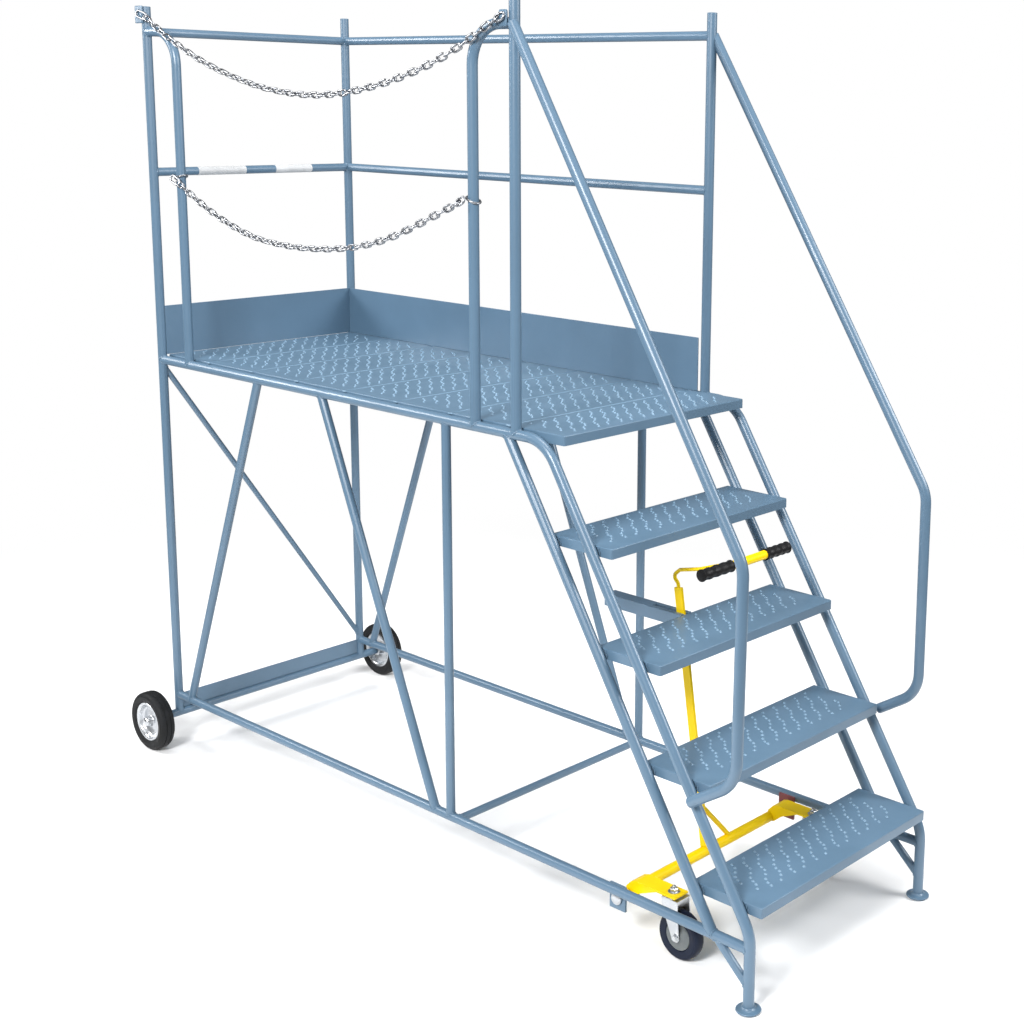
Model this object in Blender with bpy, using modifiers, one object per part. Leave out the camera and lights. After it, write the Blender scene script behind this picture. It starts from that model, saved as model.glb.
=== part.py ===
"""Mobile work platform with steps: a welded tube frame with a guarded deck, four treads,
two fixed rear wheels, and a lever-operated castor lift under the steps.

Frame: +X towards the steps, +Z up, left side at -Y (the side with the chains), metres.
The origin is on the floor, in the middle of the overall length and width.
"""

import math

import bmesh
import bpy
from mathutils import Matrix, Vector

# Gap between neighbouring pieces
GAP = 0.0003

# Tube radii
FRAME_TUBE = 0.0135
RAIL_TUBE = 0.0127
BRACE_TUBE = 0.0125
SMALL_TUBE = 0.0105
DIAGONAL_ROD = 0.0085

# Steps and deck
RISE = 0.250
RUN = 0.1573
TREAD_DEPTH = 0.206
TREAD_HALF_WIDTH = 0.344
TREAD_COUNT = 4
PLATE = 0.003
FLANGE = 0.025
FOOT_LIFT = 0.004
DECK_TOP = FOOT_LIFT + RISE * (TREAD_COUNT + 1)

# Side frames: tube centre planes at y = -SIDE and y = +SIDE
SIDE = 0.360
PLATFORM_LENGTH = 1.566
NOSE_REACH = 0.150
FOOT_REACH = 0.761
WHEEL_RADIUS = 0.0925
DISC_RADIUS = 0.030

# X positions, from the overall length
GUARD_X = (PLATFORM_LENGTH + WHEEL_RADIUS - FOOT_REACH - DISC_RADIUS) / 2
REAR_X = GUARD_X - PLATFORM_LENGTH
FOOT_X = GUARD_X + FOOT_REACH
NOSE_X = GUARD_X + NOSE_REACH

# Heights of tube centres
DECK_RAIL_Z = DECK_TOP - 0.016
BASE_RAIL_Z = FOOT_LIFT + 0.149
TOP_RAIL_Z = DECK_TOP + 0.962
MID_RAIL_Z = DECK_TOP + 0.553
REAR_POST_TOP = DECK_TOP + 1.032
GUARD_POST_TOP = DECK_TOP + 1.020
TOE_BOARD_HEIGHT = 0.150

# Stringers lean back from the foot at the slope of the steps
SLOPE = RUN / RISE
FRONT_STRINGER_X = GUARD_X + 0.103 - SLOPE * 0.004
BACK_STRINGER_X = GUARD_X - 0.029 - SLOPE * 0.004
SIDE_BEND = 0.110

# Handrails: welded beside the guard post, then outside the front stringer
HANDRAIL_TOP_Z = FOOT_LIFT + 2.213
HANDRAIL_X_AT_DECK = GUARD_X + 0.6199 - SLOPE * 0.004
HANDRAIL_FRONT = {"left": GUARD_X + 0.731, "right": GUARD_X + 0.716}
HANDRAIL_END_Z = FOOT_LIFT + 0.461
HANDRAIL_TOP_OUT = 0.0075
HANDRAIL_MID_OUT = 0.021
HANDRAIL_LOW_OUT = 2 * FRAME_TUBE + GAP
HANDRAIL_BEND = 0.095

# Gate hoops
HOOP_REACH = 0.147
HOOP_BEND = 0.095

# Posts and braces under the deck, per side
MID_POST_X = {"left": GUARD_X - 0.259, "right": GUARD_X - 0.233}
CROSS_TUBE_X = GUARD_X - 0.230
BRACE_TOPS = {
    "left": {"rear": GUARD_X - 1.071, "front": GUARD_X - 0.776},
    "right": {"rear": GUARD_X - 1.080, "front": GUARD_X - 0.690},
}
BRACE_FEET = {
    "left": {"rear": GUARD_X - 1.491, "front": GUARD_X - 0.322},
    "right": {"rear": GUARD_X - 1.492, "front": GUARD_X - 0.276},
}
DIAGONAL_TOP_Z = FOOT_LIFT + 1.214
DIAGONAL_FOOT_Z = FOOT_LIFT + 0.168
FOOT_BRACE_BACK = 0.100
FOOT_BRACE_Z = FOOT_LIFT + 0.058
DISC_THICKNESS = 0.005

# Rear axle and wheels
AXLE_TUBE = 0.0125
AXLE_TUBE_HALF = 0.428
SPINDLE = 0.010
SPINDLE_END = 0.481
WHEEL_Y = 0.455
TYRE_WIDTH = 0.050
RIM_RADIUS = 0.0625
CHANNEL_TOP = FOOT_LIFT + 0.150

# Castor lift
SHAFT_X = GUARD_X + 0.338
SHAFT_Z = FOOT_LIFT + 0.120
SHAFT_RADIUS = 0.014
SHAFT_HALF = 0.352
LEVER_Y = -0.010
LEVER_TOP = (GUARD_X + 0.231, FOOT_LIFT + 0.815)
LEVER_DEPTH = 0.024
LEVER_THICK = 0.008
HANDLE_X = GUARD_X + 0.450
HANDLE_Z = FOOT_LIFT + 0.931
HANDLE_ENDS = {"left": -0.183, "right": 0.154}
HANDLE_TUBE = 0.0115
GRIP_RADIUS = 0.0155
GRIP_INNER = {"left": -0.070, "right": 0.062}
GRIP_WALL = 0.003
ROD_RADIUS = 0.005
CASTOR_Y = 0.287
KINGPIN_X = GUARD_X + 0.469
ARM_TOP = FOOT_LIFT + 0.161
ARM_HALF_WIDTH = 0.025
ARM_PLATE = 0.0055
CASTOR_RADIUS = 0.0625
CASTOR_WIDTH = 0.032
CASTOR_TRAIL = 0.026
CASTOR_AXLE = 0.006
FORK_CROWN_TOP = 0.156
FORK_HALF_WIDTH = 0.024

# Chains: outer width of the links, and the plane in which they hang
CHAIN_WIDTH = 0.020
CHAIN_Y = -0.384
UPPER_CHAIN = [
    (-1.535, 2.259), (-1.500, 2.240), (-1.438, 2.207), (-1.350, 2.169), (-1.265, 2.136),
    (-1.169, 2.106), (-1.075, 2.082), (-0.982, 2.063), (-0.892, 2.051), (-0.804, 2.044),
    (-0.717, 2.043), (-0.633, 2.048), (-0.530, 2.061), (-0.430, 2.080), (-0.330, 2.105),
    (-0.245, 2.132), (-0.186, 2.155), (-0.132, 2.179), (-0.080, 2.204), (-0.034, 2.227),
]
LOWER_CHAIN = [
    (-1.402, 1.786), (-1.365, 1.767), (-1.320, 1.746), (-1.240, 1.711), (-1.150, 1.680),
    (-1.080, 1.661), (-1.008, 1.647), (-0.920, 1.639), (-0.824, 1.636), (-0.726, 1.639),
    (-0.628, 1.648), (-0.555, 1.660), (-0.483, 1.676), (-0.400, 1.702), (-0.324, 1.731),
    (-0.265, 1.755), (-0.211, 1.777), (-0.172, 1.794),
]


def clear_scene():
    for item in list(bpy.data.objects):
        bpy.data.objects.remove(item, do_unlink=True)
    for name in ("work_platform", "cutters"):
        collection = bpy.data.collections.new(name)
        bpy.context.scene.collection.children.link(collection)
    return bpy.data.collections["work_platform"], bpy.data.collections["cutters"]


PARTS, CUTTERS = clear_scene()


def material(name, colour, roughness, metallic):
    made = bpy.data.materials.new(name)
    made.use_nodes = True
    shader = made.node_tree.nodes["Principled BSDF"]
    shader.inputs["Base Color"].default_value = (*colour, 1.0)
    shader.inputs["Roughness"].default_value = roughness
    shader.inputs["Metallic"].default_value = metallic
    return made


FINISHES = {
    "blue_paint": ((0.16, 0.26, 0.38), 0.35, 0.0),
    "yellow_paint": ((0.90, 0.68, 0.01), 0.35, 0.0),
    "red_primer": ((0.20, 0.07, 0.07), 0.55, 0.0),
    "zinc": ((0.60, 0.62, 0.64), 0.30, 1.0),
    "rubber": ((0.02, 0.02, 0.022), 0.70, 0.0),
    "grip": ((0.015, 0.015, 0.015), 0.60, 0.0),
}


def finish(node, name):
    """Gives a node its own material."""
    colour, roughness, metallic = FINISHES[name]
    node.data.materials.clear()
    node.data.materials.append(material(f"{node.name}_{name}", colour, roughness, metallic))
    return node


def place(name, data, collection):
    made = bpy.data.objects.new(name, data)
    collection.objects.link(made)
    return made


def rounded_path(corners, bend, steps=10):
    """Straight runs through the corners, each inner corner rounded with the bend radius."""
    points = [Vector(corners[0])]
    for before, corner, after in zip(corners, corners[1:], corners[2:]):
        corner = Vector(corner)
        inward = (Vector(before) - corner).normalized()
        outward = (Vector(after) - corner).normalized()
        half = inward.angle(outward) / 2
        middle = corner + (inward + outward).normalized() * (bend / math.sin(half))
        first = corner + inward * (bend / math.tan(half))
        spoke = first - middle
        last = corner + outward * (bend / math.tan(half)) - middle
        turn = spoke.angle(last)
        for step in range(steps + 1):
            share = step / steps
            weight_a = math.sin((1 - share) * turn) / math.sin(turn)
            weight_b = math.sin(share * turn) / math.sin(turn)
            points.append(middle + spoke * weight_a + last * weight_b)
    points.append(Vector(corners[-1]))
    return points


def tube_curve(name, points, radius, sides, collection):
    curve = bpy.data.curves.new(name, "CURVE")
    curve.dimensions = "3D"
    curve.bevel_depth = radius
    curve.bevel_resolution = (sides - 4) // 2
    curve.use_fill_caps = True
    spline = curve.splines.new("POLY")
    spline.points.add(len(points) - 1)
    for target, point in zip(spline.points, points):
        target.co = (*point, 1.0)
    return place(name, curve, collection)


def pivot(name, spot, members):
    """An empty on a joint's axis that carries the pieces moving about it."""
    made = place(name, None, PARTS)
    made.location = spot
    for member in members:
        member.parent = made
        member.matrix_parent_inverse = Matrix.Translation(-Vector(spot))


def as_mesh(made):
    """Turns a curve object into a closed mesh object of the same name."""
    name = made.name
    collection = made.users_collection[0]
    mesh = bpy.data.meshes.new_from_object(made.evaluated_get(bpy.context.evaluated_depsgraph_get()))
    world = made.matrix_world.copy()
    bpy.data.objects.remove(made, do_unlink=True)
    shape = bmesh.new()
    shape.from_mesh(mesh)
    bmesh.ops.remove_doubles(shape, verts=shape.verts, dist=0.00001)
    bmesh.ops.recalc_face_normals(shape, faces=shape.faces)
    shape.to_mesh(mesh)
    shape.free()
    solid = place(name, mesh, collection)
    solid.name = name
    solid.matrix_world = world
    return solid


def tube(name, corners, radius, paint="blue_paint", bend=0.05, sides=16, cuts=()):
    """A bent tube through the corners, its ends coped to the straight tubes in cuts."""
    points = rounded_path(corners, bend)
    solid = as_mesh(tube_curve(name, points, radius, sides, PARTS))
    solid.data.shade_smooth()
    solid.data.set_sharp_from_angle(angle=math.radians(40))
    for *line, size in cuts:
        cut(solid, path_cutter(line, size + GAP * 1.2))
    return finish(solid, paint)


def path_cutter(points, radius):
    return as_mesh(tube_curve("cutter", [Vector(point) for point in points], radius, 24, CUTTERS))


def rod_cutter(start, end, radius):
    return path_cutter([start, end], radius)


def box_cutter(low, high):
    return box("cutter", low, high, CUTTERS)


def box(name, low, high, collection):
    """A box between two opposite corners, as a mesh in world place."""
    size = Vector(high) - Vector(low)
    middle = (Vector(high) + Vector(low)) / 2
    shape = bmesh.new()
    bmesh.ops.create_cube(shape, size=1.0)
    bmesh.ops.scale(shape, vec=size, verts=shape.verts)
    bmesh.ops.translate(shape, vec=middle, verts=shape.verts)
    mesh = bpy.data.meshes.new(name)
    shape.to_mesh(mesh)
    shape.free()
    return place(name, mesh, collection)


def combine(target, tool, operation):
    tool.hide_render = True
    tool.display_type = "WIRE"
    modifier = target.modifiers.new(f"{operation.lower()}_{tool.name}", "BOOLEAN")
    modifier.operation = operation
    modifier.solver = "EXACT"
    modifier.object = tool
    return target


def cut(target, tool):
    return combine(target, tool, "DIFFERENCE")


def join(target, tool):
    return combine(target, tool, "UNION")


def outline_plate(name, outline, y_low, y_high, collection):
    """A plate whose outline lies in the XZ plane, from y_low to y_high."""
    curve = bpy.data.curves.new(name, "CURVE")
    curve.dimensions = "2D"
    curve.fill_mode = "BOTH"
    curve.extrude = (y_high - y_low) / 2
    spline = curve.splines.new("POLY")
    spline.use_cyclic_u = True
    spline.points.add(len(outline) - 1)
    for target, (x, z) in zip(spline.points, outline):
        target.co = (x, z, 0.0, 1.0)
    made = place(name, curve, collection)
    made.matrix_world = Matrix.Translation((0, (y_low + y_high) / 2, 0)) @ Matrix.Rotation(
        math.pi / 2, 4, "X"
    )
    bpy.context.view_layer.update()
    return as_mesh(made)


def turned(name, profile, centre, paint, segments=32):
    """A closed (radius, along) profile turned about the Y axis through the centre."""
    mesh = bpy.data.meshes.new(name)
    pairs = zip(profile, profile[1:] + profile[:1])
    if sum(r0 * z1 - r1 * z0 for (r0, z0), (r1, z1) in pairs) > 0:
        profile = profile[::-1]
    points = [(radius, 0.0, along) for radius, along in profile]
    edges = [(i, (i + 1) % len(points)) for i in range(len(points))
             if max(points[i][0], points[(i + 1) % len(points)][0]) > 0.0]
    mesh.from_pydata(points, edges, [])
    made = place(name, mesh, PARTS)
    made.location = centre
    made.rotation_euler = (math.pi / 2, 0.0, 0.0)
    screw = made.modifiers.new("turn", "SCREW")
    screw.axis = "Z"
    screw.steps = segments
    screw.render_steps = segments
    screw.use_merge_vertices = True
    screw.merge_threshold = 0.00001
    return finish(made, paint)


def open_tray(name, low, high, thickness):
    """A folded plate: a flat top with flanges all round, open underneath."""
    size = Vector(high) - Vector(low)
    middle = (Vector(high) + Vector(low)) / 2
    shape = bmesh.new()
    bmesh.ops.create_cube(shape, size=1.0)
    bmesh.ops.scale(shape, vec=size, verts=shape.verts)
    bmesh.ops.translate(shape, vec=middle, verts=shape.verts)
    under = [face for face in shape.faces if face.normal.z < -0.5]
    bmesh.ops.delete(shape, geom=under, context="FACES_ONLY")
    mesh = bpy.data.meshes.new(name)
    shape.to_mesh(mesh)
    shape.free()
    made = place(name, mesh, PARTS)
    wall = made.modifiers.new("wall", "SOLIDIFY")
    wall.thickness = thickness
    wall.offset = -1.0
    wall.use_even_offset = True
    return finish(made, "blue_paint")


SIDES = {"left": -1, "right": 1}


def post_line(x, y):
    return (x, y, 0.0), (x, y, DECK_TOP + 1.2), FRAME_TUBE


def mid_post_line(side, y):
    return (MID_POST_X[side], y, 0.0), (MID_POST_X[side], y, DECK_TOP), BRACE_TUBE


def deck_rail_line(y):
    return (REAR_X - 0.1, y, DECK_RAIL_Z), (FRONT_STRINGER_X, y, DECK_RAIL_Z), FRAME_TUBE


def base_rail_line(y):
    return (REAR_X - 0.1, y, BASE_RAIL_Z), (FOOT_X + 0.1, y, BASE_RAIL_Z), RAIL_TUBE


def hoop_line(y):
    return (REAR_X, y, TOP_RAIL_Z), (REAR_X + 0.05, y, TOP_RAIL_Z), FRAME_TUBE


def stringer_x(start, z):
    """X on a stringer's centre line at a height."""
    return start + SLOPE * (DECK_RAIL_Z - z)


def side_frames():
    for side, sign in SIDES.items():
        y = sign * SIDE
        rear = post_line(REAR_X, y)
        axle = (REAR_X, -0.5, WHEEL_RADIUS), (REAR_X, 0.5, WHEEL_RADIUS), AXLE_TUBE
        tube(f"rear_post_{side}", [(REAR_X, y, WHEEL_RADIUS + 0.003), (REAR_X, y, REAR_POST_TOP)],
             FRAME_TUBE, cuts=[axle])
        corner_z = DECK_RAIL_Z - (FOOT_X - FRONT_STRINGER_X) / SLOPE
        side_corners = [(REAR_X + 0.003, y, DECK_RAIL_Z), (FRONT_STRINGER_X, y, DECK_RAIL_Z),
                        (FOOT_X, y, corner_z), (FOOT_X, y, FOOT_LIFT + DISC_THICKNESS + GAP)]
        tube(f"side_tube_{side}", side_corners, FRAME_TUBE, bend=SIDE_BEND, cuts=[rear])
        foot = (*rounded_path(side_corners, SIDE_BEND), FRAME_TUBE)
        tube(f"base_rail_{side}",
             [(REAR_X + 0.003, y, BASE_RAIL_Z), (FOOT_X - 0.003, y, BASE_RAIL_Z)],
             RAIL_TUBE, cuts=[rear, foot])
        deck_rail = deck_rail_line(y)
        base_rail = base_rail_line(y)
        tube(f"guard_post_{side}", [(GUARD_X, y, DECK_RAIL_Z + 0.003), (GUARD_X, y, GUARD_POST_TOP)],
             FRAME_TUBE, cuts=[deck_rail])
        post_x = MID_POST_X[side]
        tube(f"mid_post_{side}",
             [(post_x, y, BASE_RAIL_Z + 0.003), (post_x, y, DECK_RAIL_Z - 0.003)],
             BRACE_TUBE, sides=12, cuts=[deck_rail, base_rail])
        tube(f"back_stringer_{side}",
             [(stringer_x(BACK_STRINGER_X, BASE_RAIL_Z + 0.002), y, BASE_RAIL_Z + 0.002),
              (stringer_x(BACK_STRINGER_X, DECK_RAIL_Z - 0.002), y, DECK_RAIL_Z - 0.002)],
             FRAME_TUBE, cuts=[deck_rail, base_rail])
        for leg in ("rear", "front"):
            tube(f"brace_{leg}_{side}",
                 [(BRACE_FEET[side][leg], y, BASE_RAIL_Z + 0.0045),
                  (BRACE_TOPS[side][leg], y, DECK_RAIL_Z - 0.0045)],
                 BRACE_TUBE, sides=12, cuts=[deck_rail, base_rail])
        tube(f"foot_brace_{side}",
             [(FOOT_X - FOOT_BRACE_BACK, y, BASE_RAIL_Z - 0.002), (FOOT_X - 0.002, y, FOOT_BRACE_Z)],
             SMALL_TUBE, sides=12, cuts=[base_rail, foot])
        disc = turned(f"foot_disc_{side}",
                      [(0.0, 0.0), (DISC_RADIUS, 0.0), (DISC_RADIUS, DISC_THICKNESS * 0.6),
                       (DISC_RADIUS * 0.8, DISC_THICKNESS), (0.0, DISC_THICKNESS)],
                      (FOOT_X, y, FOOT_LIFT), "blue_paint", segments=32)
        disc.rotation_euler = (0.0, 0.0, 0.0)


def handrails():
    for side, sign in SIDES.items():
        post = post_line(GUARD_X, sign * SIDE)
        front = HANDRAIL_FRONT[side]

        def slope_x(z):
            return HANDRAIL_X_AT_DECK + SLOPE * (DECK_RAIL_Z - z)

        bend_z = DECK_RAIL_Z - (front - HANDRAIL_X_AT_DECK) / SLOPE
        end_x = stringer_x(FRONT_STRINGER_X, HANDRAIL_END_Z)
        low_z = HANDRAIL_END_Z + (front - end_x) * SLOPE
        outs = (HANDRAIL_TOP_OUT, HANDRAIL_MID_OUT, HANDRAIL_LOW_OUT, HANDRAIL_LOW_OUT)
        spots = ((slope_x(HANDRAIL_TOP_Z), HANDRAIL_TOP_Z), (front, bend_z), (front, low_z),
                 (end_x + 0.012, HANDRAIL_END_Z + 0.012 * SLOPE))
        corners = [(x, sign * (SIDE + out), z) for (x, z), out in zip(spots, outs)]
        y = sign * SIDE
        rail = (GUARD_X - 0.1, y, TOP_RAIL_Z), (GUARD_X, y, TOP_RAIL_Z), FRAME_TUBE
        tube(f"handrail_{side}", corners, FRAME_TUBE, bend=HANDRAIL_BEND, cuts=[post, rail])


def guard_rails():
    right = SIDE
    between = (REAR_X, 0.003 - SIDE), (REAR_X, SIDE - 0.003)
    for name, z in (("top", TOP_RAIL_Z), ("mid", MID_RAIL_Z)):
        side_line = (REAR_X, right, z), (GUARD_X, right, z), RAIL_TUBE
        tube(f"side_{name}_rail", [(REAR_X + 0.003, right, z), (GUARD_X - 0.003, right, z)],
             RAIL_TUBE, cuts=[post_line(REAR_X, right), post_line(GUARD_X, right)])
        cuts = [post_line(REAR_X, -SIDE), post_line(REAR_X, SIDE), side_line]
        if name == "top":
            cuts.append(hoop_line(-SIDE))
        tube(f"rear_{name}_rail", [(x, y, z) for x, y in between], RAIL_TUBE, cuts=cuts)
    for name, post_x, sign in (("rear", REAR_X, 1), ("front", GUARD_X, -1)):
        hoop_x = post_x + sign * HOOP_REACH
        tube(f"gate_hoop_{name}",
             [(post_x + sign * 0.003, -SIDE, TOP_RAIL_Z), (hoop_x, -SIDE, TOP_RAIL_Z),
              (hoop_x, -SIDE, DECK_RAIL_Z + 0.003)],
             FRAME_TUBE, bend=HOOP_BEND, cuts=[post_line(post_x, -SIDE), deck_rail_line(-SIDE)])
    rear = [post_line(REAR_X, sign * SIDE) for sign in (-1, 1)]
    tube("rear_diagonal",
         [(REAR_X, 0.002 - SIDE, DIAGONAL_TOP_Z), (REAR_X, SIDE - 0.002, DIAGONAL_FOOT_Z)],
         DIAGONAL_ROD, sides=12, cuts=rear + [base_rail_line(SIDE)])
    tube("base_cross_tube",
         [(CROSS_TUBE_X, 0.003 - SIDE, BASE_RAIL_Z), (CROSS_TUBE_X, SIDE - 0.003, BASE_RAIL_Z)],
         SMALL_TUBE, sides=12,
         cuts=[base_rail_line(-SIDE), base_rail_line(SIDE), mid_post_line("right", SIDE)])
    plate = box("hook_plate_rear",
                (REAR_X - 0.029, -SIDE - FRAME_TUBE - GAP - 0.006, REAR_POST_TOP - 0.046),
                (REAR_X + 0.008, -SIDE - FRAME_TUBE - GAP, REAR_POST_TOP + 0.004), PARTS)
    finish(plate, "blue_paint")


def plates():
    inside = SIDE - FRAME_TUBE - GAP
    toe_top = DECK_TOP + TOE_BOARD_HEIGHT
    rear = box("toe_board_rear", (REAR_X + 0.008, -SIDE, DECK_TOP + GAP),
               (REAR_X + 0.011, SIDE, toe_top), PARTS)
    for sign in SIDES.values():
        cut(rear, path_cutter(post_line(REAR_X, sign * SIDE)[:2], FRAME_TUBE + GAP * 1.2))
    finish(rear, "blue_paint")
    side = box("toe_board_side", (REAR_X + 0.011 + GAP, inside - PLATE, DECK_TOP + GAP),
               (GUARD_X - FRAME_TUBE - GAP, inside, toe_top), PARTS)
    finish(side, "blue_paint")
    open_tray("deck", (REAR_X + 0.008, -TREAD_HALF_WIDTH, DECK_TOP - FLANGE),
              (NOSE_X, TREAD_HALF_WIDTH, DECK_TOP), PLATE)
    for number in range(1, TREAD_COUNT + 1):
        nose = NOSE_X + RUN * (TREAD_COUNT + 1 - number)
        top = FOOT_LIFT + RISE * number
        open_tray(f"tread_{number}", (nose - TREAD_DEPTH, -TREAD_HALF_WIDTH, top - FLANGE),
                  (nose, TREAD_HALF_WIDTH, top), PLATE)


def rear_axle():
    half = SIDE - FRAME_TUBE - GAP
    channel = box("axle_channel", (REAR_X - 0.0025, -half, WHEEL_RADIUS + AXLE_TUBE + GAP),
                  (REAR_X + 0.0025, half, CHANNEL_TOP), PARTS)
    finish(channel, "blue_paint")
    turned("rear_axle",
           [(0.0, -SPINDLE_END), (SPINDLE, -SPINDLE_END), (SPINDLE, -AXLE_TUBE_HALF),
            (AXLE_TUBE, -AXLE_TUBE_HALF), (AXLE_TUBE, AXLE_TUBE_HALF),
            (SPINDLE, AXLE_TUBE_HALF), (SPINDLE, SPINDLE_END), (0.0, SPINDLE_END)],
           (REAR_X, 0.0, WHEEL_RADIUS), "blue_paint", segments=16)
    half_tyre = TYRE_WIDTH / 2
    bore = RIM_RADIUS + GAP
    groove = WHEEL_RADIUS - 0.003
    tyre = [
        (bore, -half_tyre * 0.86), (0.082, -half_tyre), (0.0885, -half_tyre * 0.86),
        (WHEEL_RADIUS, -half_tyre * 0.62), (WHEEL_RADIUS, -0.008), (groove, -0.0065),
        (WHEEL_RADIUS, -0.005), (WHEEL_RADIUS, 0.005), (groove, 0.0065),
        (WHEEL_RADIUS, 0.008), (WHEEL_RADIUS, half_tyre * 0.62), (0.0885, half_tyre * 0.86),
        (0.082, half_tyre), (bore, half_tyre * 0.86),
    ]
    hub = SPINDLE + GAP * 2
    rim = [
        (hub, -0.024), (0.020, -0.024), (0.022, -0.004), (0.050, -0.006), (0.059, -0.017),
        (RIM_RADIUS, -0.018), (RIM_RADIUS, 0.018), (0.059, 0.017), (0.050, -0.002),
        (0.022, 0.004), (0.020, 0.024), (hub, 0.024),
    ]
    for side, sign in SIDES.items():
        centre = (REAR_X, sign * WHEEL_Y, WHEEL_RADIUS)
        turned(f"rear_tyre_{side}", tyre, centre, "rubber", segments=40)
        flipped = [(radius, -sign * along) for radius, along in rim]
        turned(f"rear_rim_{side}", flipped, centre, "zinc", segments=32)


def lift_shaft_and_arms():
    moving = [tube("lift_shaft", [(SHAFT_X, -SHAFT_HALF, SHAFT_Z), (SHAFT_X, SHAFT_HALF, SHAFT_Z)],
                   SHAFT_RADIUS, "yellow_paint")]
    front = KINGPIN_X + 0.024
    outline = [
        (SHAFT_X - 0.006, SHAFT_Z + 0.012), (SHAFT_X + 0.012, SHAFT_Z - 0.010),
        (SHAFT_X + 0.020, SHAFT_Z - 0.006), (SHAFT_X + 0.040, SHAFT_Z + 0.012),
        (KINGPIN_X - 0.036, ARM_TOP - ARM_PLATE), (front, ARM_TOP - ARM_PLATE),
        (front, ARM_TOP), (SHAFT_X + 0.028, ARM_TOP), (SHAFT_X + 0.014, ARM_TOP - 0.004),
        (SHAFT_X - 0.002, SHAFT_Z + 0.021),
    ]
    for side, sign in SIDES.items():
        y = sign * CASTOR_Y
        arm = outline_plate(f"lift_arm_{side}", outline, y - ARM_HALF_WIDTH, y + ARM_HALF_WIDTH, PARTS)
        cut(arm, rod_cutter((SHAFT_X, y - 0.05, SHAFT_Z), (SHAFT_X, y + 0.05, SHAFT_Z),
                            SHAFT_RADIUS + GAP * 1.2))
        moving.append(finish(arm, "yellow_paint"))
        castor(side, (KINGPIN_X, y))
    return moving


def castor(side, kingpin):
    """A fork that swivels about the vertical kingpin, and its wheel on the fork's axle."""
    x, y = kingpin
    axle = (x + CASTOR_TRAIL, y, CASTOR_RADIUS)
    crown = FORK_CROWN_TOP
    outline = [
        (x - 0.020, crown), (x - 0.020, crown - 0.016), (axle[0] - 0.012, axle[2] - 0.004),
        (axle[0] - 0.006, axle[2] - 0.012), (axle[0] + 0.006, axle[2] - 0.012),
        (axle[0] + 0.012, axle[2] - 0.004), (x + 0.031, crown - 0.016), (x + 0.031, crown),
    ]
    fork = outline_plate(f"castor_fork_{side}", outline, y - FORK_HALF_WIDTH, y + FORK_HALF_WIDTH, PARTS)
    inner = FORK_HALF_WIDTH - 0.003
    cut(fork, box_cutter((x - 0.1, y - inner, 0.0), (x + 0.1, y + inner, crown - 0.005)))
    join(fork, rod_cutter((axle[0], y - inner - 0.006, axle[2]),
                          (axle[0], y + inner + 0.006, axle[2]), CASTOR_AXLE))
    join(fork, rod_cutter((x, y, crown - 0.003), (x, y, ARM_TOP - ARM_PLATE - GAP), 0.018))
    finish(fork, "zinc")
    half = CASTOR_WIDTH / 2
    hub = CASTOR_AXLE + GAP * 2
    profile = [
        (hub, -0.019), (0.014, -0.019), (0.018, -0.010), (0.044, -0.010), (0.050, -half),
        (0.057, -half), (CASTOR_RADIUS, -half * 0.55), (CASTOR_RADIUS, half * 0.55),
        (0.057, half), (0.050, half), (0.044, 0.010), (0.018, 0.010), (0.014, 0.019), (hub, 0.019),
    ]
    wheel = turned(f"castor_wheel_{side}", profile, axle, "rubber", segments=36)
    pivot(f"castor_axis_{side}", (x, y, crown), [fork, wheel])


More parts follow.
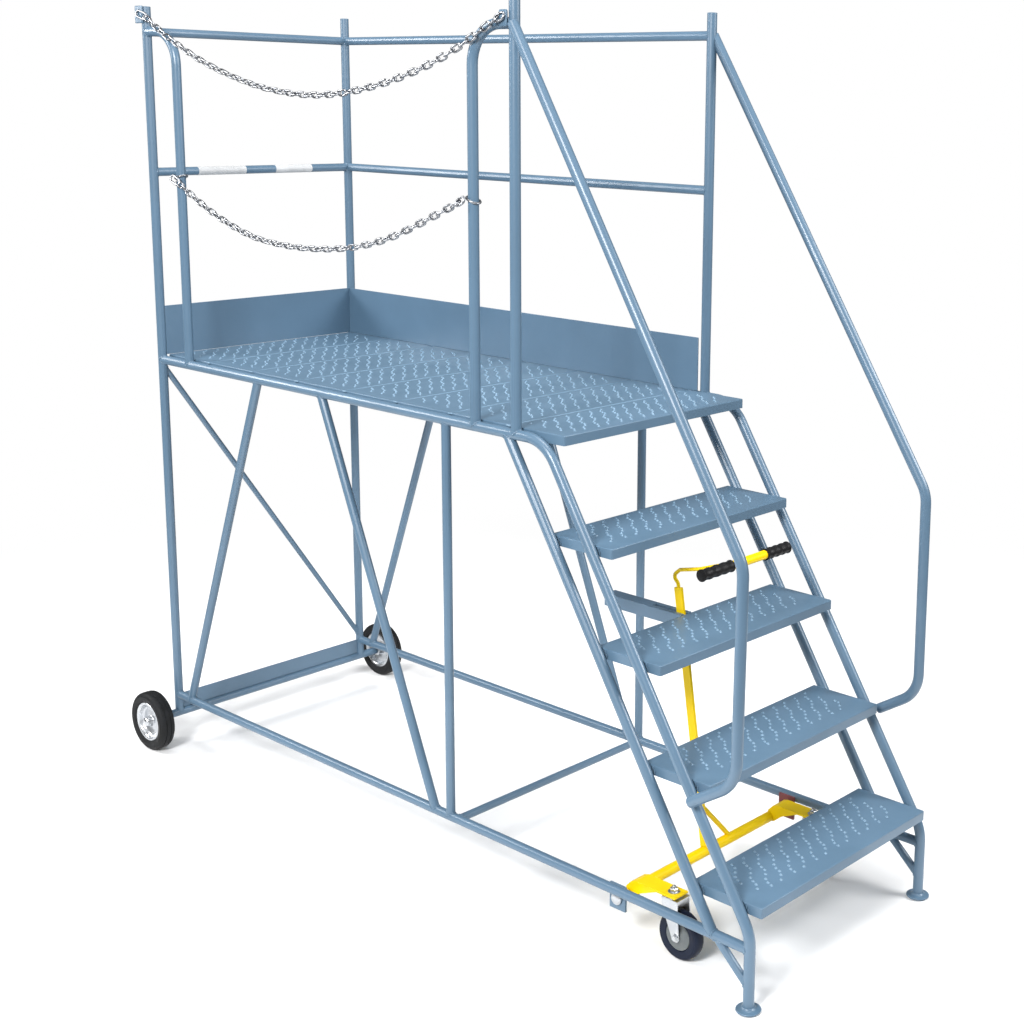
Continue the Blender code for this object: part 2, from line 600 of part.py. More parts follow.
def lever_and_handle():
    top_x, top_z = LEVER_TOP
    along = (Vector((top_x, 0, top_z)) - Vector((SHAFT_X, 0, SHAFT_Z))).normalized()
    across = Vector((-along.z, 0, along.x)) * (LEVER_DEPTH / 2)
    foot = Vector((SHAFT_X, 0, SHAFT_Z)) + along * 0.010
    head = Vector((top_x, 0, top_z))
    outline = [(p.x, p.z) for p in (foot - across, head - across, head + across, foot + across)]
    lever = outline_plate("lever", outline, LEVER_Y - LEVER_THICK / 2, LEVER_Y + LEVER_THICK / 2, PARTS)
    gusset_top = Vector((SHAFT_X, LEVER_Y, SHAFT_Z)) + along * 0.125
    gusset = as_mesh(tube_curve("gusset", [gusset_top, Vector((SHAFT_X, LEVER_Y + 0.098, SHAFT_Z + 0.009))],
                                0.007, 8, CUTTERS))
    join(lever, gusset)
    cut(lever, rod_cutter((SHAFT_X, -0.2, SHAFT_Z), (SHAFT_X, 0.2, SHAFT_Z), SHAFT_RADIUS + GAP * 1.2))
    moving = [finish(lever, "yellow_paint")]

    start = head + along * 0.0006 + Vector((0, LEVER_Y, 0))
    hump = [start, start + along * 0.011, start + Vector((-0.019, 0, 0.027)),
            start + Vector((0.004, 0, 0.047)), start + Vector((0.071, 0, 0.063)),
            Vector((HANDLE_X, LEVER_Y, HANDLE_Z))]
    handle = as_mesh(tube_curve("handle", rounded_path(hump, 0.012, 4), ROD_RADIUS, 12, PARTS))
    bar_ends = [Vector((HANDLE_X, end, HANDLE_Z)) for end in HANDLE_ENDS.values()]
    join(handle, as_mesh(tube_curve("handle_bar", bar_ends, HANDLE_TUBE, 20, CUTTERS)))
    moving.append(finish(handle, "yellow_paint"))
    for side, sign in SIDES.items():
        bar_end = HANDLE_ENDS[side]
        reaches = (GRIP_INNER[side], bar_end + sign * GRIP_WALL)
        ends = [Vector((HANDLE_X, reach, HANDLE_Z)) for reach in reaches]
        grip = as_mesh(tube_curve(f"grip_{side}", ends, GRIP_RADIUS, 20, PARTS))
        bore_end = (HANDLE_X, bar_end + sign * GAP, HANDLE_Z)
        cut(grip, rod_cutter((HANDLE_X, LEVER_Y, HANDLE_Z), bore_end, HANDLE_TUBE + GAP * 1.2))
        moving.append(finish(grip, "grip"))
    return moving


def lift_mounts():
    """The guide slot for the lever, and the plates that carry the shaft's ends."""
    tread_rear = NOSE_X + RUN * 2 - TREAD_DEPTH
    low = (GUARD_X - 0.010, LEVER_Y - 0.021, FOOT_LIFT + 0.718)
    high = (tread_rear - GAP * 2, LEVER_Y + 0.021, FOOT_LIFT + 0.751)
    guide = box("lever_guide", low, high, PARTS)
    cut(guide, box_cutter((low[0] - 0.01, low[1] + PLATE, 0.0),
                          (high[0] + 0.01, high[1] - PLATE, high[2] - PLATE)))
    cut(guide, box_cutter((GUARD_X + 0.150, LEVER_Y - 0.007, 0.0),
                          (high[0] + 0.01, LEVER_Y + 0.007, 1.0)))
    finish(guide, "blue_paint")
    outer = SIDE - RAIL_TUBE - GAP
    for side, sign in SIDES.items():
        y_low, y_high = sorted((sign * outer, sign * (outer - 0.006)))
        plate = box(f"pivot_bracket_{side}", (SHAFT_X - 0.026, y_low, SHAFT_Z - 0.030),
                    (SHAFT_X + 0.026, y_high, SHAFT_Z + 0.036), PARTS)
        cut(plate, rod_cutter((SHAFT_X, y_low - 0.01, SHAFT_Z), (SHAFT_X, y_high + 0.01, SHAFT_Z),
                              SHAFT_RADIUS + GAP * 2))
        finish(plate, "blue_paint" if side == "left" else "red_primer")


def smooth_route(points, spacing):
    """Points at an even spacing on a smooth curve through the given points."""
    spots = [Vector(point) for point in points]
    fine = []
    for i in range(len(spots) - 1):
        p0 = spots[max(i - 1, 0)]
        p1, p2 = spots[i], spots[i + 1]
        p3 = spots[min(i + 2, len(spots) - 1)]
        for step in range(20):
            t = step / 20
            fine.append(0.5 * ((2 * p1) + (p2 - p0) * t + (2 * p0 - 5 * p1 + 4 * p2 - p3) * t ** 2
                               + (3 * p1 - p0 - 3 * p2 + p3) * t ** 3))
    fine.append(spots[-1])
    lengths = [0.0]
    for a, b in zip(fine, fine[1:]):
        lengths.append(lengths[-1] + (b - a).length)
    count = round(lengths[-1] / spacing)
    route = []
    at = 0
    for step in range(count + 1):
        want = lengths[-1] * step / count
        while at < len(fine) - 2 and lengths[at + 1] < want:
            at += 1
        share = (want - lengths[at]) / (lengths[at + 1] - lengths[at])
        route.append(fine[at].lerp(fine[at + 1], share))
    return route


def chains():
    for name, points in (("chain_upper", UPPER_CHAIN), ("chain_lower", LOWER_CHAIN)):
        spots = [(GUARD_X + x, CHAIN_Y, z) for x, z in points]
        route = smooth_route(spots, CHAIN_WIDTH * 2.5)
        finish(tube_curve(name, route, CHAIN_WIDTH / 2, 8, PARTS), "zinc")


side_frames()
handrails()
guard_rails()
plates()
rear_axle()
pivot("lift_axis", (SHAFT_X, 0.0, SHAFT_Z), lift_shaft_and_arms() + lever_and_handle())
lift_mounts()
chains()
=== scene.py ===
import math

import bmesh
import bpy
import numpy as np
from mathutils import Matrix, Vector


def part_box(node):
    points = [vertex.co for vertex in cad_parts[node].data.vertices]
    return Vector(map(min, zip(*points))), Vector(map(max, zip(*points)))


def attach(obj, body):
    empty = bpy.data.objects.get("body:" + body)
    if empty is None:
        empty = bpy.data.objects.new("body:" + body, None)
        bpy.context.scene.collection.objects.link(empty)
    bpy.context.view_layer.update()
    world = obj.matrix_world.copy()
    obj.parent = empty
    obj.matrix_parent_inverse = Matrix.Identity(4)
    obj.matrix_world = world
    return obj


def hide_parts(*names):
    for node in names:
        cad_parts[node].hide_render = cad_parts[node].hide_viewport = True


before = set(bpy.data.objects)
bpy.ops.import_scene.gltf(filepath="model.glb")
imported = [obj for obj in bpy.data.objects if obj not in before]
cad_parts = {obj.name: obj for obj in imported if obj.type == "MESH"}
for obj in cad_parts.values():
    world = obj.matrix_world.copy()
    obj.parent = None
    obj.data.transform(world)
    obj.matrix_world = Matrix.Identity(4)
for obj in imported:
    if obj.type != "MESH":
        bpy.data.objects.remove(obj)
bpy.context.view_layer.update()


# places read from the frame
def middle(node):
    low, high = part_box(node)
    return (low + high) / 2


deckLow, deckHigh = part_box("deck")
deckTop = deckHigh.z
guardX = middle("guard_post_left").x
rearX = middle("rear_post_left").x
footX = middle("foot_disc_left").x
sideY = middle("guard_post_right").y
railZ = middle("side_top_rail").z
tubeSize = 0.0135   # radius of every painted tube
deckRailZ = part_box("side_tube_left")[1].z - tubeSize
sideNames = {"left": -1, "right": 1}
treadNumbers = (1, 2, 3, 4)
print("frame read: deck top", round(deckTop, 4), "guard post x", round(guardX, 4))


# camera
cameraPlace = {
    "from": (3.1957, -2.9787, 2.0497),   # metres, in front of the steps on the chain side
    "azimuth": 40.087,                   # degrees round from looking along +Y
    "down": 11.336,                      # degrees below level
    "roll": 1.033,                       # degrees
    "lens": 55.62,                       # millimetres on a 36 mm film
    "shift": (-0.175, -0.0934),          # share of the frame
}


def addCamera(place):
    azimuth, down, roll = (math.radians(place[key]) for key in ("azimuth", "down", "roll"))
    forward = Vector((-math.sin(azimuth) * math.cos(down), math.cos(azimuth) * math.cos(down),
                      -math.sin(down)))
    level = Vector((math.cos(azimuth), math.sin(azimuth), 0.0))
    upright = level.cross(forward)
    right = level * math.cos(roll) + upright * math.sin(roll)
    up = upright * math.cos(roll) - level * math.sin(roll)
    data = bpy.data.cameras.new("camera")
    data.lens = place["lens"]
    data.sensor_width = 36.0
    data.shift_x, data.shift_y = place["shift"]
    camera = bpy.data.objects.new("camera", data)
    turn = Matrix((right, up, -forward)).transposed().to_4x4()
    camera.matrix_world = Matrix.Translation(place["from"]) @ turn
    bpy.context.scene.collection.objects.link(camera)
    bpy.context.scene.camera = camera


addCamera(cameraPlace)


# surfaces from arrays
def unit(vectors):
    # every vector divided by its own length
    vectors = np.asarray(vectors, float)
    return vectors / np.maximum(np.linalg.norm(vectors, axis=-1, keepdims=True), 1e-12)


def skin(grid, wrapRows=False):
    # quads between neighbours on a grid whose columns close into a ring; its rows close too, or
    # else each end has a fan of triangles round a point in its middle
    rows, columns = grid.shape[:2]
    index = np.arange(rows * columns).reshape(rows, columns)
    after = np.roll(index, -1, axis=1)
    if wrapRows:
        below, belowAfter = np.roll(index, -1, axis=0), np.roll(after, -1, axis=0)
        quads = np.stack([index, after, belowAfter, below], axis=-1).reshape(-1, 4)
        return grid.reshape(-1, 3), quads.tolist()
    quads = np.stack([index[:-1], after[:-1], after[1:], index[1:]], axis=-1).reshape(-1, 4)
    ends = np.stack([grid[0].mean(axis=0), grid[-1].mean(axis=0)])
    points = np.concatenate([grid.reshape(-1, 3), ends])
    first = np.full(columns, rows * columns)
    faces = quads.tolist()
    faces += np.stack([after[0], index[0], first], axis=-1).tolist()
    faces += np.stack([index[-1], after[-1], first + 1], axis=-1).tolist()
    return points, faces


def gather(surfaces):
    # many surfaces in one list of points and faces
    points, faces, count = [], [], 0
    for surfacePoints, surfaceFaces in surfaces:
        points.append(surfacePoints)
        faces += [[corner + count for corner in face] for face in surfaceFaces]
        count += len(surfacePoints)
    return np.concatenate(points), faces


def makePiece(name, surfaces, body, material, replaced=(), sharp=35):
    # one object of closed surfaces, faces outwards; edges past the sharp angle stay crisp
    points, faces = gather(surfaces)
    mesh = bpy.data.meshes.new(name)
    mesh.from_pydata(points.tolist(), [], faces)
    shape = bmesh.new()
    shape.from_mesh(mesh)
    bmesh.ops.recalc_face_normals(shape, faces=shape.faces)
    shape.to_mesh(mesh)
    shape.free()
    mesh.shade_smooth()
    mesh.set_sharp_from_angle(angle=math.radians(sharp))
    mesh.materials.append(material)
    piece = bpy.data.objects.new(name, mesh)
    bpy.context.scene.collection.objects.link(piece)
    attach(piece, body)
    if replaced:
        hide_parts(*replaced)
    return piece


def tubeRings(path, radius, sides, reference, closed=False):
    # a ring of the radius round each point of a path, square to it: point + radius * (cosine *
    # across + sine * beside); reference is a direction that never lies along the path
    path = np.asarray(path, float)
    ahead = np.roll(path, -1, axis=0) - np.roll(path, 1, axis=0)
    if not closed:
        ahead[0], ahead[-1] = path[1] - path[0], path[-1] - path[-2]
    ahead = unit(ahead)
    across = unit(np.cross(ahead, np.broadcast_to(reference, path.shape)))
    beside = np.cross(ahead, across)
    angle = np.linspace(0, 2 * np.pi, sides, endpoint=False)
    radius = np.broadcast_to(radius, len(path))[:, None, None]
    ring = (np.cos(angle)[None, :, None] * across[:, None]
            + np.sin(angle)[None, :, None] * beside[:, None])
    return path[:, None] + radius * ring


def turnedRings(profile, centre, axis, segments):
    # a profile of (radius, distance along) turned about an axis through the centre
    profile = np.asarray(profile, float)
    axis = unit(axis)
    across = unit(np.cross(axis, (0.577, 0.577, -0.577)))
    beside = np.cross(axis, across)
    angle = np.linspace(0, 2 * np.pi, segments, endpoint=False)
    ring = np.cos(angle)[:, None] * across + np.sin(angle)[:, None] * beside
    return (np.asarray(centre, float) + profile[:, 0, None, None] * ring
            + profile[:, 1, None, None] * axis)


def roundedOutline(halfX, halfY, corner, steps=4):
    # a rectangle with round corners, as points round its middle
    turn = np.linspace(0, np.pi / 2, steps)
    quarters = [(1, 1, 0), (-1, 1, 1), (-1, -1, 2), (1, -1, 3)]
    return np.concatenate([
        np.stack([signX * (halfX - corner) + corner * np.cos(turn + quarter * np.pi / 2),
                  signY * (halfY - corner) + corner * np.sin(turn + quarter * np.pi / 2)], axis=-1)
        for signX, signY, quarter in quarters])


def pressedTray(low, high, size):
    # a folded sheet: its outline carried from the flat top round the bend, down the flange,
    # and back up the inside
    halfX, halfY = (high[0] - low[0]) / 2, (high[1] - low[1]) / 2
    centre = np.array([(low[0] + high[0]) / 2, (low[1] + high[1]) / 2, high[2]])
    bend, wall, flange = size["bend"], size["wall"], high[2] - low[2]
    turn = np.linspace(0, np.pi / 2, 5)
    inset = bend * (1 - np.sin(turn))
    depth = bend * (1 - np.cos(turn))
    hold = size["hold"]   # a narrow strip each side of the bend keeps the sheet beside it flat
    inset = np.concatenate([[bend + hold], inset, [0.0, 0.0, wall, wall]])
    depth = np.concatenate([[0.0], depth, [bend + hold, flange, flange, wall]])
    rings = [np.column_stack([roundedOutline(halfX - a, halfY - a, size["corner"] + bend - a),
                              np.full(16, -d)]) for a, d in zip(inset, depth)]
    return skin(centre + np.stack(rings))


def dimples(places, size, top):
    # small domes, each longer along its slanting column than across it: height falls from the
    # middle as half a cosine, and the foot dips into the sheet
    share = np.array([0.02, 0.28, 0.5, 0.72, 0.9, 1.0, 1.0])
    height = size["height"] * (0.5 + 0.5 * np.cos(np.pi * share))
    height[-2:] = (0.0, -0.0006)
    dome = turnedRings(np.column_stack([share, height]), (0, 0, 0), (0, 0, 1), 10)
    points, faces = skin(dome)
    along = unit((1.0, size["slant"], 0.0))
    across = np.array([-along[1], along[0], 0.0])
    upright = np.array([0.0, 0.0, 1.0])
    points = (size["length"] / 2 * points[:, :1] * along
              + size["width"] / 2 * points[:, 1:2] * across + points[:, 2:] * upright)
    spots = np.column_stack([places, np.full(len(places), top)])
    allPoints = (spots[:, None] + points[None]).reshape(-1, 3)
    shifts = np.arange(len(spots)) * len(points)
    quads = np.array([face for face in faces if len(face) == 4])
    triangles = np.array([face for face in faces if len(face) == 3])
    allFaces = (quads[None] + shifts[:, None, None]).reshape(-1, 4).tolist()
    allFaces += (triangles[None] + shifts[:, None, None]).reshape(-1, 3).tolist()
    return allPoints, allFaces


def dotColumns(xLow, xHigh, halfY, layout, seed):
    # slanting columns of dots from back to front, each weaving a little from side to side
    count, slant = layout["dots"], dotSize["slant"]
    reach = abs(slant) * (xHigh - xLow)
    columns = np.arange(-halfY - reach, halfY + reach, layout["pitch"])
    column, dot = np.meshgrid(np.arange(len(columns)), np.arange(count), indexing="ij")
    weave = layout["weave"] * np.sin(2 * np.pi * (dot / 4.2 + column * 0.5))
    jitter = np.random.default_rng(seed).normal(0, dotSize["jitter"], (2, *column.shape))
    x = xLow + (xHigh - xLow) * dot / (count - 1) + jitter[0]
    y = columns[column] + slant * (x - xLow) + weave + jitter[1]
    spots = np.stack([x, y], axis=-1).reshape(-1, 2)
    return spots[np.abs(spots[:, 1]) < halfY]


# finishes
def newGroup(name, inputs, outputs):
    group = bpy.data.node_groups.new(name, "ShaderNodeTree")
    for label, kind, value in inputs:
        socket = group.interface.new_socket(label, in_out="INPUT", socket_type=kind)
        socket.default_value = value
    for label, kind in outputs:
        group.interface.new_socket(label, in_out="OUTPUT", socket_type=kind)
    return group, group.nodes.new("NodeGroupInput"), group.nodes.new("NodeGroupOutput")


def addNoise(group, coordinates, scale, detail):
    noise = group.nodes.new("ShaderNodeTexNoise")
    noise.inputs["Detail"].default_value = detail
    group.links.new(coordinates, noise.inputs["Vector"])
    group.links.new(scale, noise.inputs["Scale"])
    return noise.outputs["Fac"]


def ramp(group, value, low, high):
    stretch = group.nodes.new("ShaderNodeMapRange")
    stretch.inputs["From Min"].default_value = low
    stretch.inputs["From Max"].default_value = high
    group.links.new(value, stretch.inputs["Value"])
    return stretch.outputs["Result"]


def combine(group, operation, first, second):
    node = group.nodes.new("ShaderNodeMath")
    node.operation = operation
    for socket, value in zip(node.inputs, (first, second)):
        if isinstance(value, (int, float)):
            socket.default_value = value
        else:
            group.links.new(value, socket)
    return node.outputs[0]


def blendColours(group, share, first, second):
    node = group.nodes.new("ShaderNodeMix")
    node.data_type = "RGBA"
    group.links.new(share, node.inputs["Factor"])
    group.links.new(first, node.inputs["A"])
    group.links.new(second, node.inputs["B"])
    return node.outputs["Result"]


def buildCoatGroup():
    # a coat of paint or plate: cloudy tone, fine specks, and a rippled surface
    group, inside, outside = newGroup("coatVariation", [
        ("Tone", "NodeSocketColor", (0.5, 0.5, 0.5, 1)),
        ("Shade", "NodeSocketColor", (0.4, 0.4, 0.4, 1)),
        ("Cloud Scale", "NodeSocketFloat", 6.0),
        ("Speck Scale", "NodeSocketFloat", 260.0),
        ("Ripple Scale", "NodeSocketFloat", 420.0),
        ("Low Roughness", "NodeSocketFloat", 0.3),
        ("High Roughness", "NodeSocketFloat", 0.45),
    ], [("Color", "NodeSocketColor"), ("Roughness", "NodeSocketFloat"), ("Height", "NodeSocketFloat")])
    coordinates = group.nodes.new("ShaderNodeTexCoord").outputs["Object"]
    cloud = ramp(group, addNoise(group, coordinates, inside.outputs["Cloud Scale"], 4), 0.35, 0.68)
    speck = ramp(group, addNoise(group, coordinates, inside.outputs["Speck Scale"], 2), 0.62, 0.78)
    dusty = combine(group, "MAXIMUM", cloud, combine(group, "MULTIPLY", speck, 0.7))
    colour = blendColours(group, dusty, inside.outputs["Tone"], inside.outputs["Shade"])
    lowRough, highRough = inside.outputs["Low Roughness"], inside.outputs["High Roughness"]
    spread = combine(group, "SUBTRACT", highRough, lowRough)
    rough = combine(group, "ADD", lowRough, combine(group, "MULTIPLY", spread, cloud))
    height = addNoise(group, coordinates, inside.outputs["Ripple Scale"], 2)
    group.links.new(colour, outside.inputs["Color"])
    group.links.new(rough, outside.inputs["Roughness"])
    group.links.new(height, outside.inputs["Height"])
    return group


coatGroup = buildCoatGroup()

finishes = {
    "bluePaint": {"tone": (0.094, 0.164, 0.241), "shade": (0.080, 0.144, 0.214), "cloud": 5.0,
                  "speck": 240.0, "roughness": (0.31, 0.39), "metal": 0.0, "specular": 0.62},
    "deckPaint": {"tone": (0.096, 0.168, 0.246), "shade": (0.082, 0.148, 0.218), "cloud": 7.0,
                  "speck": 200.0, "roughness": (0.34, 0.44), "metal": 0.0, "specular": 0.5},
    # a lighter blue than the deck paint: a painted highlight on the raised dots and seam ridges, which
    # are pressed in the deck's own paint
    "raisedPaintedHighlight": {"tone": (0.165, 0.262, 0.358), "shade": (0.135, 0.224, 0.312), "cloud": 30.0,
                 "speck": 200.0, "roughness": (0.34, 0.42), "metal": 0.0, "specular": 0.5},
    "yellowPaint": {"tone": (0.88, 0.61, 0.001), "shade": (0.80, 0.54, 0.001), "cloud": 9.0,
                    "speck": 220.0, "roughness": (0.34, 0.44), "metal": 0.0, "specular": 0.22},
    "redPaint": {"tone": (0.205, 0.055, 0.060), "shade": (0.135, 0.036, 0.040), "cloud": 30.0,
                 "speck": 300.0, "ripple": 500.0, "roughness": (0.42, 0.60), "metal": 0.0,
                 "bump": 0.08, "specular": 0.3},
    "zincPlate": {"tone": (0.60, 0.62, 0.64), "shade": (0.52, 0.54, 0.57), "cloud": 30.0,
                  "speck": 700.0, "ripple": 700.0, "roughness": (0.26, 0.36), "metal": 1.0,
                  "bump": 0.03, "specular": 0.5},
    "brightLink": {"tone": (0.36, 0.37, 0.39), "shade": (0.27, 0.28, 0.30), "cloud": 40.0,
                   "speck": 600.0, "roughness": (0.28, 0.36), "metal": 1.0, "specular": 0.5},
    "tyreRubber": {"tone": (0.006, 0.0065, 0.007), "shade": (0.012, 0.013, 0.015), "cloud": 45.0,
                   "speck": 420.0, "ripple": 900.0, "roughness": (0.50, 0.72), "metal": 0.0,
                   "bump": 0.15, "specular": 0.22},
    "navyRubber": {"tone": (0.006, 0.010, 0.024), "shade": (0.010, 0.015, 0.032), "cloud": 50.0,
                   "speck": 420.0, "ripple": 900.0, "roughness": (0.45, 0.65), "metal": 0.0,
                   "bump": 0.12, "specular": 0.22},
    "greyDisc": {"tone": (0.17, 0.185, 0.19), "shade": (0.13, 0.145, 0.15), "cloud": 40.0,
                 "speck": 400.0, "ripple": 600.0, "roughness": (0.30, 0.45), "metal": 0.4,
                 "bump": 0.06, "specular": 0.22},
    "gripPlastic": {"tone": (0.004, 0.004, 0.0045), "shade": (0.007, 0.007, 0.008), "cloud": 40.0,
                    "speck": 500.0, "ripple": 1100.0, "roughness": (0.38, 0.55), "metal": 0.0,
                    "bump": 0.18, "specular": 0.2},
    "whiteTape": {"tone": (0.56, 0.57, 0.58), "shade": (0.48, 0.49, 0.50), "cloud": 30.0,
                  "speck": 300.0, "ripple": 250.0, "roughness": (0.35, 0.50), "metal": 0.0,
                  "bump": 0.02, "specular": 0.3},
}


def buildMaterial(name, look):
    material = bpy.data.materials.new(name)
    material.use_nodes = True
    tree = material.node_tree
    shader = tree.nodes["Principled BSDF"]
    shader.inputs["Metallic"].default_value = look["metal"]
    shader.inputs["Specular IOR Level"].default_value = look["specular"]
    coat = tree.nodes.new("ShaderNodeGroup")
    coat.node_tree = coatGroup
    coat.inputs["Tone"].default_value = (*look["tone"], 1)
    coat.inputs["Shade"].default_value = (*look["shade"], 1)
    coat.inputs["Cloud Scale"].default_value = look["cloud"]
    coat.inputs["Speck Scale"].default_value = look["speck"]
    coat.inputs["Low Roughness"].default_value = look["roughness"][0]
    coat.inputs["High Roughness"].default_value = look["roughness"][1]
    tree.links.new(coat.outputs["Color"], shader.inputs["Base Color"])
    tree.links.new(coat.outputs["Roughness"], shader.inputs["Roughness"])
    if "bump" in look:   # the smooth coats have no ripple
        coat.inputs["Ripple Scale"].default_value = look["ripple"]
        bump = tree.nodes.new("ShaderNodeBump")
        bump.inputs["Strength"].default_value = look["bump"]
        bump.inputs["Distance"].default_value = 0.001
        tree.links.new(coat.outputs["Height"], bump.inputs["Height"])
        tree.links.new(bump.outputs["Normal"], shader.inputs["Normal"])
    return material


materials = {name: buildMaterial(name, look) for name, look in finishes.items()}
print("finishes built:", len(materials))


# chains
chainSize = {
    "pitch": 0.0285, "width": 0.020, "wire": 0.0029, "plane": -0.384,
    "lean": 30, "leanSpread": 0.08, "overlap": 3.6,   # overlap of two links, in wires
    "upper": [   # x from the guard post, and z
        (-1.535, 2.259), (-1.500, 2.240), (-1.438, 2.207), (-1.350, 2.169), (-1.265, 2.136),
        (-1.169, 2.106), (-1.075, 2.082), (-0.982, 2.063), (-0.892, 2.051), (-0.804, 2.044),
        (-0.717, 2.043), (-0.633, 2.048), (-0.530, 2.061), (-0.430, 2.080), (-0.330, 2.105),
        (-0.245, 2.132), (-0.186, 2.155), (-0.132, 2.179), (-0.080, 2.204), (-0.034, 2.227),
    ],
    "lower": [
        (-1.402, 1.786), (-1.365, 1.767), (-1.320, 1.746), (-1.240, 1.711), (-1.150, 1.680),
        (-1.080, 1.661), (-1.008, 1.647), (-0.920, 1.639), (-0.824, 1.636), (-0.726, 1.639),
        (-0.628, 1.648), (-0.555, 1.660), (-0.483, 1.676), (-0.400, 1.702), (-0.324, 1.731),
        (-0.265, 1.755), (-0.211, 1.777), (-0.172, 1.794),
    ],
}


def smoothRoute(points):
    # a curve through the points: each stretch is the cubic set by its four nearest points
    points = np.asarray(points, float)
    padded = np.concatenate([points[:1], points, points[-1:]])
    before, start, end, after = (padded[k:len(padded) - 3 + k, None] for k in range(4))
    share = np.linspace(0, 1, 20, endpoint=False)[None, :, None]
    fine = 0.5 * (2 * start + (end - before) * share
                  + (2 * before - 5 * start + 4 * end - after) * share ** 2
                  + (3 * start - before - 3 * end + after) * share ** 3)
    return np.concatenate([fine.reshape(-1, points.shape[1]), points[-1:]])


def evenPoints(route, count):
    # points at equal distances along a route
    along = np.concatenate([[0], np.cumsum(np.linalg.norm(np.diff(route, axis=0), axis=1))])
    want = np.linspace(0, along[-1], count)
    return np.column_stack([np.interp(want, along, route[:, k]) for k in range(3)]), along[-1]


def linkSurface(length, width, wire):
    # one link lying along X: wire round a slot with half-circle ends
    bend = width / 2 - wire
    straight = length / 2 - width / 2
    turn = np.linspace(-np.pi / 2, np.pi / 2, 6)
    right = np.stack([straight + bend * np.cos(turn), bend * np.sin(turn)], axis=-1)
    path = np.concatenate([right, -right])
    path = np.column_stack([path, np.zeros(len(path))])
    return skin(tubeRings(path, wire, 7, (0, 0, 1), closed=True), wrapRows=True)


def chain(name, flatRoute, node):
    # links at equal steps along the route, in the upright plane of the chain side
    spots = [(guardX + x, chainSize["plane"], z) for x, z in flatRoute]
    route = smoothRoute(spots)
    length = evenPoints(route, 2)[1]
    count = round(length / chainSize["pitch"])
    joints, length = evenPoints(route, count + 1)
    centres = (joints[1:] + joints[:-1]) / 2
    ahead = unit(joints[1:] - joints[:-1])
    wander = np.random.default_rng(7).normal(0, chainSize["leanSpread"], count)
    lean = math.radians(chainSize["lean"]) + wander
    lean = lean + np.pi / 2 * (np.arange(count) % 2)   # each link turned a quarter from the last
    side = np.broadcast_to((0.0, 1.0, 0.0), ahead.shape)
    upright = np.cross(ahead, side)
    across = side * np.cos(lean)[:, None] + upright * np.sin(lean)[:, None]
    through = np.cross(ahead, across)
    wire = chainSize["wire"]
    points, faces = linkSurface(chainSize["pitch"] + chainSize["overlap"] * wire,
                                chainSize["width"], wire)
    placed = (centres[:, None] + points[None, :, :1] * ahead[:, None]
              + points[None, :, 1:2] * across[:, None] + points[None, :, 2:] * through[:, None])
    surfaces = [(link, faces) for link in placed]
    piece = makePiece(name, surfaces, "frame", materials["brightLink"], [node], sharp=80)
    print(name, "length", round(length, 3), "links", count)


chain("chainUpper", chainSize["upper"], "chain_upper")
chain("chainLower", chainSize["lower"], "chain_lower")


hookSize = {
    "wire": 0.0030, "linkWidth": 0.024, "turn": 1.25, "clear": 0.0004, "hoopX": 0.147,
    "plateHalf": (0.0135, 0.0195), "plateFace": (-0.3797, -0.3737), "plateCorner": 0.005,
    "plateEdge": 0.0015,
}


def placedLink(start, end, width, wire, turn):
    # one long link between two points in the chain's plane, turned about its own length
    start, end = np.asarray(start, float), np.asarray(end, float)
    ahead = unit(end - start)
    side = np.array([0.0, 1.0, 0.0])
    upright = np.cross(ahead, side)
    across = side * math.cos(turn) + upright * math.sin(turn)
    points, faces = linkSurface(np.linalg.norm(end - start), width, wire)
    points = ((start + end) / 2 + points[:, :1] * ahead + points[:, 1:2] * across
              + points[:, 2:] * np.cross(ahead, across))
    return points, faces


def ringRoundTube(x, z, tilt):
    # a wire ring worn round an upright tube, one side lower than the other
    turn = np.linspace(0, 2 * np.pi, 40, endpoint=False)
    reach = tubeSize + hookSize["wire"] + hookSize["clear"]
    path = np.column_stack([x + reach * np.cos(turn), -sideY + reach * np.sin(turn),
                            z + reach * tilt * np.cos(turn)])
    return skin(tubeRings(path, hookSize["wire"], 8, (0, 0, 1), closed=True), wrapRows=True)


